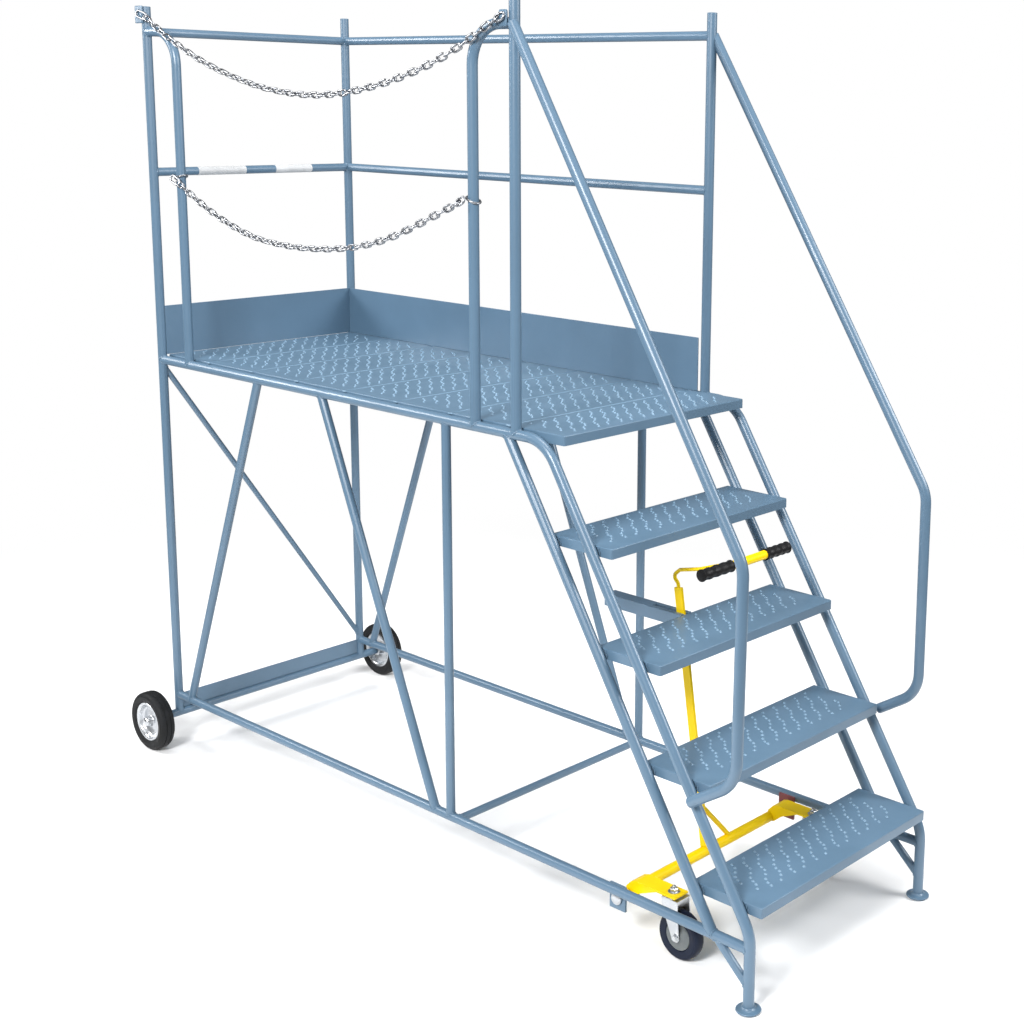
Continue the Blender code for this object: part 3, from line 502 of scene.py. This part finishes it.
def addChainEnds():
    # a long link at each end of each chain, rings round the hoops, and a plate on the front post
    plane, width, wire = chainSize["plane"], hookSize["linkWidth"], hookSize["wire"]
    firstUpper, lastUpper = chainSize["upper"][0], chainSize["upper"][-1]
    firstLower, lastLower = chainSize["lower"][0], chainSize["lower"][-1]
    back, front = rearX + hookSize["hoopX"] - guardX, -hookSize["hoopX"]
    spans = [((rearX - guardX - 0.016, firstUpper[1] + 0.012),
              (firstUpper[0] + 0.010, firstUpper[1] - 0.004)),
             ((lastUpper[0] - 0.012, lastUpper[1] - 0.005),
              (lastUpper[0] + 0.026, lastUpper[1] + 0.008)),
             ((back - 0.018, firstLower[1] + 0.014), (firstLower[0] + 0.012, firstLower[1] - 0.006)),
             ((lastLower[0] - 0.014, lastLower[1] - 0.006), (front - 0.004, lastLower[1] + 0.010))]
    surfaces = [placedLink((guardX + start[0], plane, start[1]), (guardX + end[0], plane, end[1]),
                           width, wire, hookSize["turn"]) for start, end in spans]
    surfaces += [ringRoundTube(guardX + back, firstLower[1] + 0.012, 0.35),
                 ringRoundTube(guardX + front, lastLower[1] + 0.006, -0.45)]
    makePiece("chainEnds", surfaces, "frame", materials["brightLink"], sharp=80)
    edge = hookSize["plateEdge"]
    inset = np.array([edge, 0.0, 0.0, edge])
    near, far = hookSize["plateFace"]
    depth = np.array([near, near + edge, far - edge, far])
    halfX, halfZ = hookSize["plateHalf"]
    centre = (guardX + lastUpper[0] + halfX, lastUpper[1])
    rings = []
    for trim, y in zip(inset, depth):
        outline = roundedOutline(halfX - trim, halfZ - trim, hookSize["plateCorner"] - trim, 6)
        rings.append(np.column_stack([centre[0] + outline[:, 0], np.full(len(outline), y),
                                      centre[1] + outline[:, 1]]))
    makePiece("hookPlateFront", [skin(np.stack(rings))], "frame", materials["bluePaint"],
              sharp=50)


addChainEnds()
print("chain ends hooked on")


# painted tubes and plates carried over with smooth shading and rounded edges
def copyOf(node, body, material, bevel=0.0, sharp=35):
    # the frame's own mesh, its loose triangles merged into flat faces
    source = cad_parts[node]
    shape = bmesh.new()
    shape.from_mesh(source.data)
    bmesh.ops.remove_doubles(shape, verts=shape.verts, dist=0.00001)
    bmesh.ops.dissolve_limit(shape, angle_limit=math.radians(1.0), verts=shape.verts,
                             edges=shape.edges)
    mesh = bpy.data.meshes.new(node + ".smooth")
    shape.to_mesh(mesh)
    shape.free()
    mesh.materials.clear()
    mesh.materials.append(material)
    mesh.shade_smooth()
    mesh.set_sharp_from_angle(angle=math.radians(sharp))
    piece = bpy.data.objects.new(node + ".smooth", mesh)
    bpy.context.scene.collection.objects.link(piece)
    if bevel:
        edge = piece.modifiers.new("roundedEdge", "BEVEL")
        edge.width = bevel
        edge.segments = 2
        edge.limit_method = "ANGLE"
        edge.angle_limit = math.radians(40)
    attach(piece, body)
    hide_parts(node)


tubeNodes = [
    "rear_post_left", "rear_post_right", "guard_post_left", "guard_post_right",
    "mid_post_left", "mid_post_right", "base_rail_left", "base_rail_right",
    "side_tube_left", "side_tube_right", "back_stringer_left", "back_stringer_right",
    "handrail_left", "handrail_right", "rear_top_rail", "rear_mid_rail", "side_top_rail",
    "side_mid_rail", "gate_hoop_rear", "gate_hoop_front", "brace_rear_left",
    "brace_front_left", "brace_rear_right", "brace_front_right", "rear_diagonal",
    "base_cross_tube", "rear_axle", "foot_brace_left", "foot_brace_right",
]
plateNodes = {   # width of the rounded edge
    "toe_board_rear": 0.0008, "toe_board_side": 0.0008, "axle_channel": 0.0012,
    "lever_guide": 0.0008, "pivot_bracket_left": 0.0015, "hook_plate_rear": 0.002,
}
for node in tubeNodes:
    copyOf(node, "frame", materials["bluePaint"])
for node, width in plateNodes.items():
    copyOf(node, "frame", materials["bluePaint"], bevel=width)
copyOf("pivot_bracket_right", "frame", materials["redPaint"], bevel=0.0015)
copyOf("lift_shaft", "lift", materials["yellowPaint"])
copyOf("handle", "lift", materials["yellowPaint"], sharp=50)
copyOf("lever", "lift", materials["yellowPaint"], bevel=0.0008)
for side in sideNames:
    copyOf(f"lift_arm_{side}", "lift", materials["yellowPaint"], bevel=0.0018)
    copyOf(f"castor_fork_{side}", f"castor_{side}", materials["zincPlate"], bevel=0.0012)
print("tubes and plates smoothed")


# welds
weldSize = {
    "radius": 0.0021, "ripples": 15, "points": 60,
    "treadRadius": 0.0016, "treadHalf": 0.006, "treadOut": 0.0012,
    "treadX": (-0.012, 0.012, 0.120, 0.144),   # from the back stringer's middle
}


def lineOf(node):
    # a straight tube's middle, direction and radius: its long faces all stand square to the
    # direction, so it is the one direction that none of their normals leans to
    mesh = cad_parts[node].data
    areas = np.zeros(len(mesh.polygons))
    mesh.polygons.foreach_get("area", areas)
    normals = np.zeros(len(mesh.polygons) * 3)
    mesh.polygons.foreach_get("normal", normals)
    longFaces = normals.reshape(-1, 3)[areas > areas.max() * 0.5]
    direction = np.linalg.svd(longFaces)[2][-1]
    points = np.zeros(len(mesh.vertices) * 3)
    mesh.vertices.foreach_get("co", points)
    points = points.reshape(-1, 3)
    along = points @ direction
    flat = points - along[:, None] * direction
    across = unit(np.cross(direction, (0.31, 0.83, 0.46)))
    beside = np.cross(direction, across)
    centre = sum(((flat @ way).max() + (flat @ way).min()) / 2 * way for way in (across, beside))
    radius = ((flat @ across).max() - (flat @ across).min()) / 2
    return centre + direction * (along.max() + along.min()) / 2, direction, radius


def weldBead(branch, main, size, phase):
    # the line where two round tubes meet: a ring round the branch, slid along it until it
    # lies on the main tube, with a rippled bead on it
    (mid, direction, radius), (mainMid, mainWay, mainRadius) = branch, main
    between = mainMid - mid
    cross = np.cross(mainWay, direction)
    meet = mainMid + mainWay * (np.cross(-between, direction) @ cross) / (cross @ cross)
    away = direction if (mid - meet) @ direction > 0 else -direction
    across = unit(np.cross(away, (0.31, 0.83, 0.46)))
    beside = np.cross(away, across)
    angle = np.linspace(0, 2 * np.pi, size["points"], endpoint=False)
    ring = radius * (np.cos(angle)[:, None] * across + np.sin(angle)[:, None] * beside)
    wide = ring - (ring @ mainWay)[:, None] * mainWay
    climb = away - (away @ mainWay) * mainWay
    half = wide @ climb
    steep = climb @ climb
    reach = np.sqrt(np.maximum(half ** 2 - steep * ((wide * wide).sum(1) - mainRadius ** 2), 0))
    slide = (reach - half) / steep
    path = meet + ring + slide[:, None] * away
    bead = size["radius"] * (1 + 0.16 * np.sin(size["ripples"] * angle + phase))
    return skin(tubeRings(path, bead, 8, away, closed=True), wrapRows=True)


def barBead(start, end, radius, reference=(0, 0, 1)):
    # a short straight run of weld: its radius falls to nothing at the ends as the root of
    # 1 - distance ** 6, with a ripple along it
    share = np.linspace(0, 1, 14)
    path = np.outer(1 - share, start) + np.outer(share, end)
    ripple = 1 + 0.12 * np.sin(40 * share)
    swell = radius * np.sqrt(np.clip(1 - (2 * share - 1) ** 6, 0.02, 1)) * ripple
    return skin(tubeRings(path, swell, 8, reference))


def addWelds():
    # beads where straight tubes meet, and short beads beside each tread
    lines = {node: lineOf(node) for node in tubeNodes if not node.startswith(
        ("side_tube", "handrail", "gate_hoop", "rear_axle"))}
    tubeRadius = lines["rear_post_left"][2]
    for side, sign in sideNames.items():
        y = sign * sideY
        lines[f"deck_rail_{side}"] = np.array([0, y, deckRailZ]), np.array([1.0, 0, 0]), tubeRadius
        lines[f"foot_post_{side}"] = np.array([footX, y, 0.1]), np.array([0, 0, 1.0]), tubeRadius
    for which, post in (("rear", "rear_post_left"), ("front", "guard_post_left")):
        low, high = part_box(f"gate_hoop_{which}")
        legX = high.x - tubeRadius if which == "rear" else low.x + tubeRadius
        lines[f"hoop_leg_{which}"] = np.array([legX, -sideY, 1.7]), np.array([0, 0, 1.0]), tubeRadius
        lines[f"hoop_top_{which}"] = (np.array([(legX + lines[post][0][0]) / 2, -sideY, railZ]),
                                      np.array([1.0, 0, 0]), tubeRadius)
    pairs = [("hoop_top_rear", "rear_post_left"), ("hoop_top_front", "guard_post_left"),
             ("hoop_leg_rear", "deck_rail_left"), ("hoop_leg_front", "deck_rail_left"),
             ("rear_diagonal", "rear_post_left"), ("rear_diagonal", "rear_post_right"),
             ("base_cross_tube", "base_rail_left"), ("base_cross_tube", "base_rail_right")]
    for rail in ("top", "mid"):
        pairs += [(f"rear_{rail}_rail", "rear_post_left"), (f"rear_{rail}_rail", "rear_post_right"),
                  (f"side_{rail}_rail", "rear_post_right"), (f"side_{rail}_rail", "guard_post_right")]
    sidePairs = [("guard_post", "deck_rail"), ("deck_rail", "rear_post"), ("base_rail", "rear_post"),
                 ("base_rail", "foot_post"), ("foot_brace", "base_rail"), ("foot_brace", "foot_post")]
    for side in sideNames:
        for node in ("mid_post", "back_stringer", "brace_rear", "brace_front"):
            pairs += [(f"{node}_{side}", f"deck_rail_{side}"), (f"{node}_{side}", f"base_rail_{side}")]
        pairs += [(f"{branch}_{side}", f"{main}_{side}") for branch, main in sidePairs]
    surfaces = [weldBead(lines[branch], lines[main], weldSize, 1.7 * number)
                for number, (branch, main) in enumerate(pairs)]
    half, radius = weldSize["treadHalf"], weldSize["treadRadius"]
    for side, sign in sideNames.items():
        edge = sign * (deckHigh.y + weldSize["treadOut"])
        backLine, backWay, _ = lines[f"back_stringer_{side}"]
        for number in treadNumbers:
            low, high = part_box(f"tread_{number}")
            for lift in (0.35, 0.65):
                z = low.z + (high.z - low.z) * lift
                backX = backLine[0] + backWay[0] / backWay[2] * (z - backLine[2])
                for step in weldSize["treadX"]:
                    x = backX + step
                    ends = (x, edge, z - half), (x, edge, z + half)
                    surfaces.append(barBead(*ends, radius, (1, 0, 0)))
    makePiece("weldBeads", surfaces, "frame", materials["bluePaint"], sharp=80)


addWelds()
print("welds laid")


# deck planks and treads
sheetSize = {"bend": 0.0026, "wall": 0.0026, "corner": 0.0018, "hold": 0.0010}
dotSize = {"length": 0.0120, "width": 0.0094, "height": 0.0036, "slant": -0.84, "jitter": 0.0006}
plankSize = {"pitch": 0.2165, "gap": 0.0016, "count": 7}
# margins without dots are at the back, at the front and at each side
plankDots = {"pitch": 0.042, "dots": 11, "weave": 0.0050, "margins": (0.026, 0.026, 0.040), "seed": 10}
treadDots = {"pitch": 0.045, "dots": 10, "weave": 0.0050, "margins": (0.022, 0.052, 0.052), "seed": 20}


def plate(name, low, high, layout, number, replaced):
    # one pressed sheet and the dots on it
    back, front, sideways = layout["margins"]
    halfY = (high[1] - low[1]) / 2 - sideways
    spots = dotColumns(low[0] + back, high[0] - front, halfY, layout, layout["seed"] + number)
    # the dots take a lighter blue than the sheet under them: painted highlight
    makePiece(f"{name}Dots", [dimples(spots, dotSize, high[2])], "frame", materials["raisedPaintedHighlight"])
    makePiece(name, [pressedTray(low, high, sheetSize)], "frame", materials["deckPaint"],
              replaced)


seamSize = {
    "half": 0.338, "radius": 0.0024, "sunk": 0.0012,
    "tack": 0.0026, "tackHalf": 0.009, "tackOut": 0.0012, "tackSunk": 0.0020,
}


def addDeck():
    # planks side by side from the rear, a narrow one last, with a weld line on each seam
    start = deckLow.x
    seams = []
    for number in range(plankSize["count"] + 1):
        low = (start + plankSize["gap"] / 2, deckLow.y, deckLow.z)
        end = min(start + plankSize["pitch"], deckHigh.x)
        if number == plankSize["count"]:
            end = deckHigh.x
        high = (end - plankSize["gap"] / 2, deckHigh.y, deckTop)
        plate(f"plank{number + 1}", low, high, plankDots, number, ["deck"] if number == 0 else [])
        if number:
            seams.append(start)
        start = end
    surfaces = []
    z, reach, half = deckTop - seamSize["sunk"], seamSize["half"], seamSize["tackHalf"]
    for seam in seams:
        surfaces.append(barBead((seam, -reach, z), (seam, reach, z), seamSize["radius"]))
        for sign in sideNames.values():
            spot = (sign * (deckHigh.y + seamSize["tackOut"]), deckTop - seamSize["tackSunk"])
            surfaces.append(barBead((seam - half, *spot), (seam + half, *spot), seamSize["tack"]))
    # the seam beads take the same lighter blue as the dots: painted highlight
    makePiece("plankSeams", surfaces, "frame", materials["raisedPaintedHighlight"], sharp=60)


addDeck()
for number in treadNumbers:
    low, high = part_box(f"tread_{number}")
    plate(f"treadPlate{number}", tuple(low), tuple(high), treadDots, number, [f"tread_{number}"])
print("deck and treads pressed")


# rear wheels
wheelSize = {
    "tyreHeight": 0.030, "shoulder": 0.0105, "tread": 0.0092, "groove": 0.0022,
    "hubReach": 0.0315, "rimHalf": 0.0205, "discDepth": 0.0030, "segments": 96, "rimSegments": 72,
}


def bothWays(half):
    # a profile from one side to the middle, followed by its mirror image
    return np.concatenate([half, (half * (1, -1))[-2::-1]])


def addRearWheel(side, sign):
    # a tyre with a bead line and two grooves, and a rim pressed round a domed cap
    low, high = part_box(f"rear_tyre_{side}")
    centre = tuple((low + high) / 2)
    radius, half = (high.z - low.z) / 2, (high.y - low.y) / 2
    rim = radius - wheelSize["tyreHeight"]
    groove, tread = wheelSize["groove"], wheelSize["tread"]
    wall = radius - wheelSize["shoulder"]
    out = np.array([
        (rim - 0.001, 0.018), (rim + 0.0005, half * 0.84), (rim + 0.0045, half * 0.95),
        (wall - 0.0075, half), (wall - 0.0022, half), (wall - 0.0018, half - 0.0009),
        (wall - 0.0006, half - 0.0009), (wall - 0.0002, half), (wall + 0.0030, half * 0.95),
        (wall + 0.0065, half * 0.84), (wall + 0.0089, half * 0.70), (radius - 0.0005, half * 0.54),
        (radius, tread), (radius - groove, tread - 0.0012), (radius - groove, tread - 0.0024),
        (radius, tread - 0.0036), (radius, 0.0)])
    tyre = turnedRings(bothWays(out), centre, (0, sign, 0), wheelSize["segments"])
    makePiece(f"rearTyre_{side}", [skin(tyre, wrapRows=True)], f"rear_wheel_{side}",
              materials["tyreRubber"], [f"rear_tyre_{side}"], sharp=40)
    hub, edge, disc = wheelSize["hubReach"], wheelSize["rimHalf"], wheelSize["discDepth"]
    face = np.array([
        (0.0005, hub), (0.0050, hub - 0.0005), (0.0095, hub - 0.0020), (0.0130, hub - 0.0050),
        (0.0148, hub - 0.0090), (0.0155, disc + 0.0075), (0.0175, disc + 0.0050),
        (0.0215, disc + 0.0042), (0.0300, disc + 0.0020), (0.0400, disc), (0.0455, disc + 0.0008),
        (0.0490, disc + 0.0045), (0.0510, edge - 0.0050), (0.0530, edge - 0.0015), (0.0565, edge),
        (rim - 0.0020, edge), (rim - 0.0003, edge - 0.0016), (rim, edge - 0.0050),
        (rim, 0.0050 - edge), (rim - 0.0003, 0.0016 - edge), (rim - 0.0040, -edge),
        (0.0535, 0.0015 - edge), (0.0510, 0.0050 - edge), (0.0490, disc - 0.0050),
        (0.0400, disc - 0.0035), (0.0280, disc - 0.0035), (0.0200, disc - 0.0070),
        (0.0190, -0.0235), (0.0170, -0.0250), (0.0106, -0.0250)])
    rings = turnedRings(face, centre, (0, sign, 0), wheelSize["rimSegments"])
    makePiece(f"rearRim_{side}", [skin(rings)], f"rear_wheel_{side}", materials["zincPlate"],
              [f"rear_rim_{side}"], sharp=40)


for side, sign in sideNames.items():
    addRearWheel(side, sign)
print("rear wheels turned")


# castors
castorSize = {
    "tyre": 0.0245, "half": 0.016, "crownTop": 0.156, "trail": 0.026, "forkFace": 0.0242,
    "axleWasher": 0.0095, "axleNut": (0.0078, 0.0048), "pinNut": (0.0105, 0.0085),
}


def hexHead(centre, axis, radius, height):
    # a six-sided nut with its top corners turned off
    profile = [(radius, 0.0), (radius, height * 0.82), (radius * 0.86, height)]
    return skin(turnedRings(profile, centre, axis, 6))


def addCastor(side):
    # tyre, hub disc and axle nuts, then the swivel race and the bolt through the lift arm
    low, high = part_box(f"castor_wheel_{side}")
    centre = (low + high) / 2
    radius = (high.z - low.z) / 2
    half, inner = castorSize["half"], radius - castorSize["tyre"]
    ring = np.array([(inner - 0.001, half * 0.70), (inner + 0.0008, half * 0.92), (inner + 0.004, half),
                     (radius - 0.0090, half), (radius - 0.0082, half - 0.0008),
                     (radius - 0.0074, half - 0.0008), (radius - 0.0066, half * 0.98),
                     (radius - 0.0040, half * 0.90), (radius - 0.0014, half * 0.68),
                     (radius - 0.0003, half * 0.40), (radius, 0.0)])
    tyre = turnedRings(bothWays(ring), centre, (0, 1, 0), 72)
    makePiece(f"castorTyre_{side}", [skin(tyre, wrapRows=True)], f"castor_wheel_body_{side}",
              materials["navyRubber"], [f"castor_wheel_{side}"], sharp=40)
    face = np.array([(0.0066, 0.0186), (0.0120, 0.0186), (0.0140, 0.0176), (0.0150, 0.0156),
                     (0.0180, 0.0146), (0.0300, 0.0138), (0.0350, 0.0136), (inner - 0.0018, 0.0142),
                     (inner - 0.001, 0.0132)])
    disc = turnedRings(np.concatenate([face, (face * (1, -1))[::-1]]), centre, (0, 1, 0), 64)
    makePiece(f"castorDisc_{side}", [skin(disc, wrapRows=True)], f"castor_wheel_body_{side}",
              materials["greyDisc"], sharp=40)
    nuts = []
    for way in (-1, 1):
        outer, outward = centre + Vector((0, way * castorSize["forkFace"], 0)), (0, way, 0)
        washerSize = castorSize["axleWasher"]
        washer = turnedRings([(washerSize, 0.0), (washerSize, 0.0016)], outer, outward, 28)
        seat = outer + Vector((0, way * 0.0014, 0))
        nuts += [skin(washer), hexHead(seat, outward, *castorSize["axleNut"])]
    makePiece(f"castorAxleNuts_{side}", nuts, f"castor_{side}", materials["zincPlate"])
    pin = Vector((centre.x - castorSize["trail"], centre.y, 0))
    crownTop = castorSize["crownTop"]
    race = turnedRings([(0.0186, crownTop), (0.0235, crownTop), (0.0240, crownTop + 0.0008),
                        (0.0235, crownTop + 0.0018), (0.0205, crownTop + 0.0026),
                        (0.0186, crownTop + 0.0028)], (pin.x, pin.y, 0), (0, 0, 1), 40)
    makePiece(f"castorRace_{side}", [skin(race, wrapRows=True)], f"castor_{side}",
              materials["zincPlate"], sharp=30)
    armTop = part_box(f"lift_arm_{side}")[1].z
    base = (pin.x, pin.y, armTop - 0.0002)
    washer = turnedRings([(0.0150, 0.0), (0.0150, 0.0018), (0.0140, 0.0024)], base, (0, 0, 1), 36)
    thread = turnedRings([(0.0055, 0.0), (0.0055, 0.0145), (0.0046, 0.0158)], base, (0, 0, 1), 20)
    nut = hexHead((pin.x, pin.y, armTop + 0.0020), (0, 0, 1), *castorSize["pinNut"])
    makePiece(f"castorBolt_{side}", [skin(washer), skin(thread), nut], "lift",
              materials["zincPlate"])


for side in sideNames:
    addCastor(side)
print("castors built")


# handle grips, caps, feet, tape
gripSize = {"waves": 4, "depth": 0.0016}
capSize = {"radius": 0.0158, "height": 0.0095, "over": 0.0035}
footProfile = [
    (0.0295, 0.0), (0.0300, 0.0008), (0.0300, 0.0026), (0.0292, 0.0036), (0.0240, 0.0040),
    (0.0200, 0.0048), (0.0160, 0.0068), (0.0150, 0.0090), (0.0140, 0.0096),
]
postCapProfile = [
    (0.0134, -0.001), (0.0136, 0.0004), (0.0131, 0.0014), (0.0110, 0.0022), (0.0060, 0.0026),
]


def addGrip(side):
    # a sleeve whose radius waves as a cosine along its length, with a plain band at each end
    low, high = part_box(f"grip_{side}")
    centre = (low + high) / 2
    half, radius = (high.y - low.y) / 2, (high.z - low.z) / 2
    share = np.linspace(-1, 1, 60)
    wave = gripSize["depth"] * (0.5 + 0.5 * np.cos(np.pi * gripSize["waves"] * (share + 1)))
    shape = radius - gripSize["depth"] * 1.3 + wave
    shape = np.where(np.abs(share) > 0.93, radius, shape)
    edge = np.sqrt(np.clip(1 - ((np.abs(share) - 0.965) / 0.035).clip(0) ** 2, 0.25, 1))
    profile = np.column_stack([shape * edge, share * half])
    rings = turnedRings(profile, centre, (0, 1, 0), 32)
    makePiece(f"gripSleeve_{side}", [skin(rings)], "lift", materials["gripPlastic"],
              [f"grip_{side}"], sharp=50)


def domedCap(radius, height):
    # a shallow dome over a short straight skirt
    turn = np.linspace(0, np.pi / 2, 7)
    dome = np.column_stack([radius * np.cos(turn), height * 0.3 + height * 0.7 * np.sin(turn)])
    return np.concatenate([[(radius, 0.0)], dome[:-1], [(0.0004, height)]])


for side, sign in sideNames.items():
    addGrip(side)
    shaft, shaftEnd = middle("lift_shaft"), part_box("lift_shaft")[1].y
    end = (shaft.x, sign * (shaftEnd - capSize["over"]), shaft.z)
    cap = turnedRings(domedCap(capSize["radius"], capSize["height"]), end, (0, sign, 0), 36)
    makePiece(f"shaftCap_{side}", [skin(cap)], "lift", materials["zincPlate"], sharp=50)
    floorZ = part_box(f"foot_disc_{side}")[0].z
    foot = turnedRings(footProfile, (footX, sign * sideY, floorZ), (0, 0, 1), 48)
    makePiece(f"footPad_{side}", [skin(foot)], "frame", materials["bluePaint"],
              [f"foot_disc_{side}"], sharp=40)

postCaps = []
for node in ("rear_post_left", "rear_post_right", "guard_post_left", "guard_post_right"):
    centre, top = middle(node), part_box(node)[1].z
    postCaps.append(skin(turnedRings(postCapProfile, (centre.x, centre.y, top), (0, 0, 1), 32)))
makePiece("postCaps", postCaps, "frame", materials["bluePaint"], sharp=50)

tapeSize = {
    "bands": [(-0.2125, -0.043), (0.068, 0.207)],   # y from and to, along the rear mid rail
    "radius": 0.01305, "crease": 0.00018, "edge": 0.0120,
}
midRail = middle("rear_mid_rail")
tapeSurfaces = []
for start, end in tapeSize["bands"]:
    share = np.linspace(0, 1, 26)
    swell = tapeSize["radius"] + tapeSize["crease"] * np.sin(share * 37) * np.sin(share * 11)
    body = np.column_stack([swell, start + (end - start) * share])
    profile = np.concatenate([[(tapeSize["edge"], start)], body, [(tapeSize["edge"], end)]])
    tapeSurfaces.append(skin(turnedRings(profile, (midRail.x, 0, midRail.z), (0, 1, 0), 32)))
makePiece("tapeBands", tapeSurfaces, "frame", materials["whiteTape"], sharp=50)
print("small pieces added")


# light and floor
lightPlan = {
    "key": {"place": (1.7, -4.7, 3.9), "aim": (0.1, 0.0, 1.1), "size": 1.5, "power": 400},
    "side": {"place": (-3.6, -2.4, 3.2), "aim": (0.0, 0.0, 1.1), "size": 1.3, "power": 130},
    "back": {"place": (4.2, 2.2, 3.6), "aim": (0.0, 0.0, 1.0), "size": 2.0, "power": 190},
    "top": {"place": (0.6, 0.2, 8.0), "aim": (0.2, 0.0, 0.0), "size": 4.0, "power": 380},
}


def addLight(name, plan):
    data = bpy.data.lights.new(name, "AREA")
    data.size = plan["size"]
    data.energy = plan["power"]
    lamp = bpy.data.objects.new(name, data)
    lamp.location = plan["place"]
    way = Vector(plan["aim"]) - Vector(plan["place"])
    lamp.rotation_euler = way.to_track_quat("-Z", "Y").to_euler()
    bpy.context.scene.collection.objects.link(lamp)


for name, plan in lightPlan.items():
    addLight(name, plan)

worldGlow = 0.24   # light from all round, on the object and the floor


def addWorld(lightStrength):
    # white behind the object, and a dimmer white as light on it
    world = bpy.data.worlds.new("studio")
    world.use_nodes = True
    tree = world.node_tree
    seen = tree.nodes["Background"]
    seen.inputs["Color"].default_value = (1.0, 1.0, 1.0, 1)
    lit = tree.nodes.new("ShaderNodeBackground")
    lit.inputs["Color"].default_value = (1.0, 1.0, 1.0, 1)
    lit.inputs["Strength"].default_value = lightStrength
    choose = tree.nodes.new("ShaderNodeMixShader")
    rays = tree.nodes.new("ShaderNodeLightPath")
    tree.links.new(rays.outputs["Is Camera Ray"], choose.inputs["Fac"])
    tree.links.new(lit.outputs["Background"], choose.inputs[1])
    tree.links.new(seen.outputs["Background"], choose.inputs[2])
    tree.links.new(choose.outputs["Shader"], tree.nodes["World Output"].inputs["Surface"])
    bpy.context.scene.world = world


addWorld(worldGlow)
bpy.context.scene.view_settings.view_transform = "Standard"

floorSize = {"half": 30, "fadeFrom": 1.6, "fadeTo": 3.6}
floorMesh = bpy.data.meshes.new("floor")
floorCorners = [(-1, -1), (1, -1), (1, 1), (-1, 1)]
floorMesh.from_pydata([(x * floorSize["half"], y * floorSize["half"], 0) for x, y in floorCorners],
                      [], [(0, 1, 2, 3)])


def paleFloor(near, far, glow):
    # pale near the object, where it takes soft shadows, fading into the white beyond
    material = bpy.data.materials.new("paleFloor")
    material.use_nodes = True
    tree = material.node_tree
    shader = tree.nodes["Principled BSDF"]
    shader.inputs["Base Color"].default_value = (0.93, 0.93, 0.93, 1)
    shader.inputs["Roughness"].default_value = 0.9
    shader.inputs["Specular IOR Level"].default_value = 0.0
    distance = tree.nodes.new("ShaderNodeVectorMath")
    distance.operation = "LENGTH"
    tree.links.new(tree.nodes.new("ShaderNodeTexCoord").outputs["Object"], distance.inputs[0])
    fade = tree.nodes.new("ShaderNodeMapRange")
    fade.interpolation_type = "SMOOTHSTEP"
    fade.inputs["From Min"].default_value = near
    fade.inputs["From Max"].default_value = far
    tree.links.new(distance.outputs["Value"], fade.inputs["Value"])
    rays = tree.nodes.new("ShaderNodeLightPath")
    strength = tree.nodes.new("ShaderNodeMapRange")
    strength.inputs["To Min"].default_value = glow
    tree.links.new(rays.outputs["Is Camera Ray"], strength.inputs["Value"])
    white = tree.nodes.new("ShaderNodeEmission")
    tree.links.new(strength.outputs["Result"], white.inputs["Strength"])
    choose = tree.nodes.new("ShaderNodeMixShader")
    tree.links.new(fade.outputs["Result"], choose.inputs["Fac"])
    tree.links.new(shader.outputs["BSDF"], choose.inputs[1])
    tree.links.new(white.outputs["Emission"], choose.inputs[2])
    tree.links.new(choose.outputs["Shader"], tree.nodes["Material Output"].inputs["Surface"])
    return material


floorMesh.materials.append(paleFloor(floorSize["fadeFrom"], floorSize["fadeTo"], worldGlow))
floor = bpy.data.objects.new("floor", floorMesh)
bpy.context.scene.collection.objects.link(floor)
print("light and floor set")
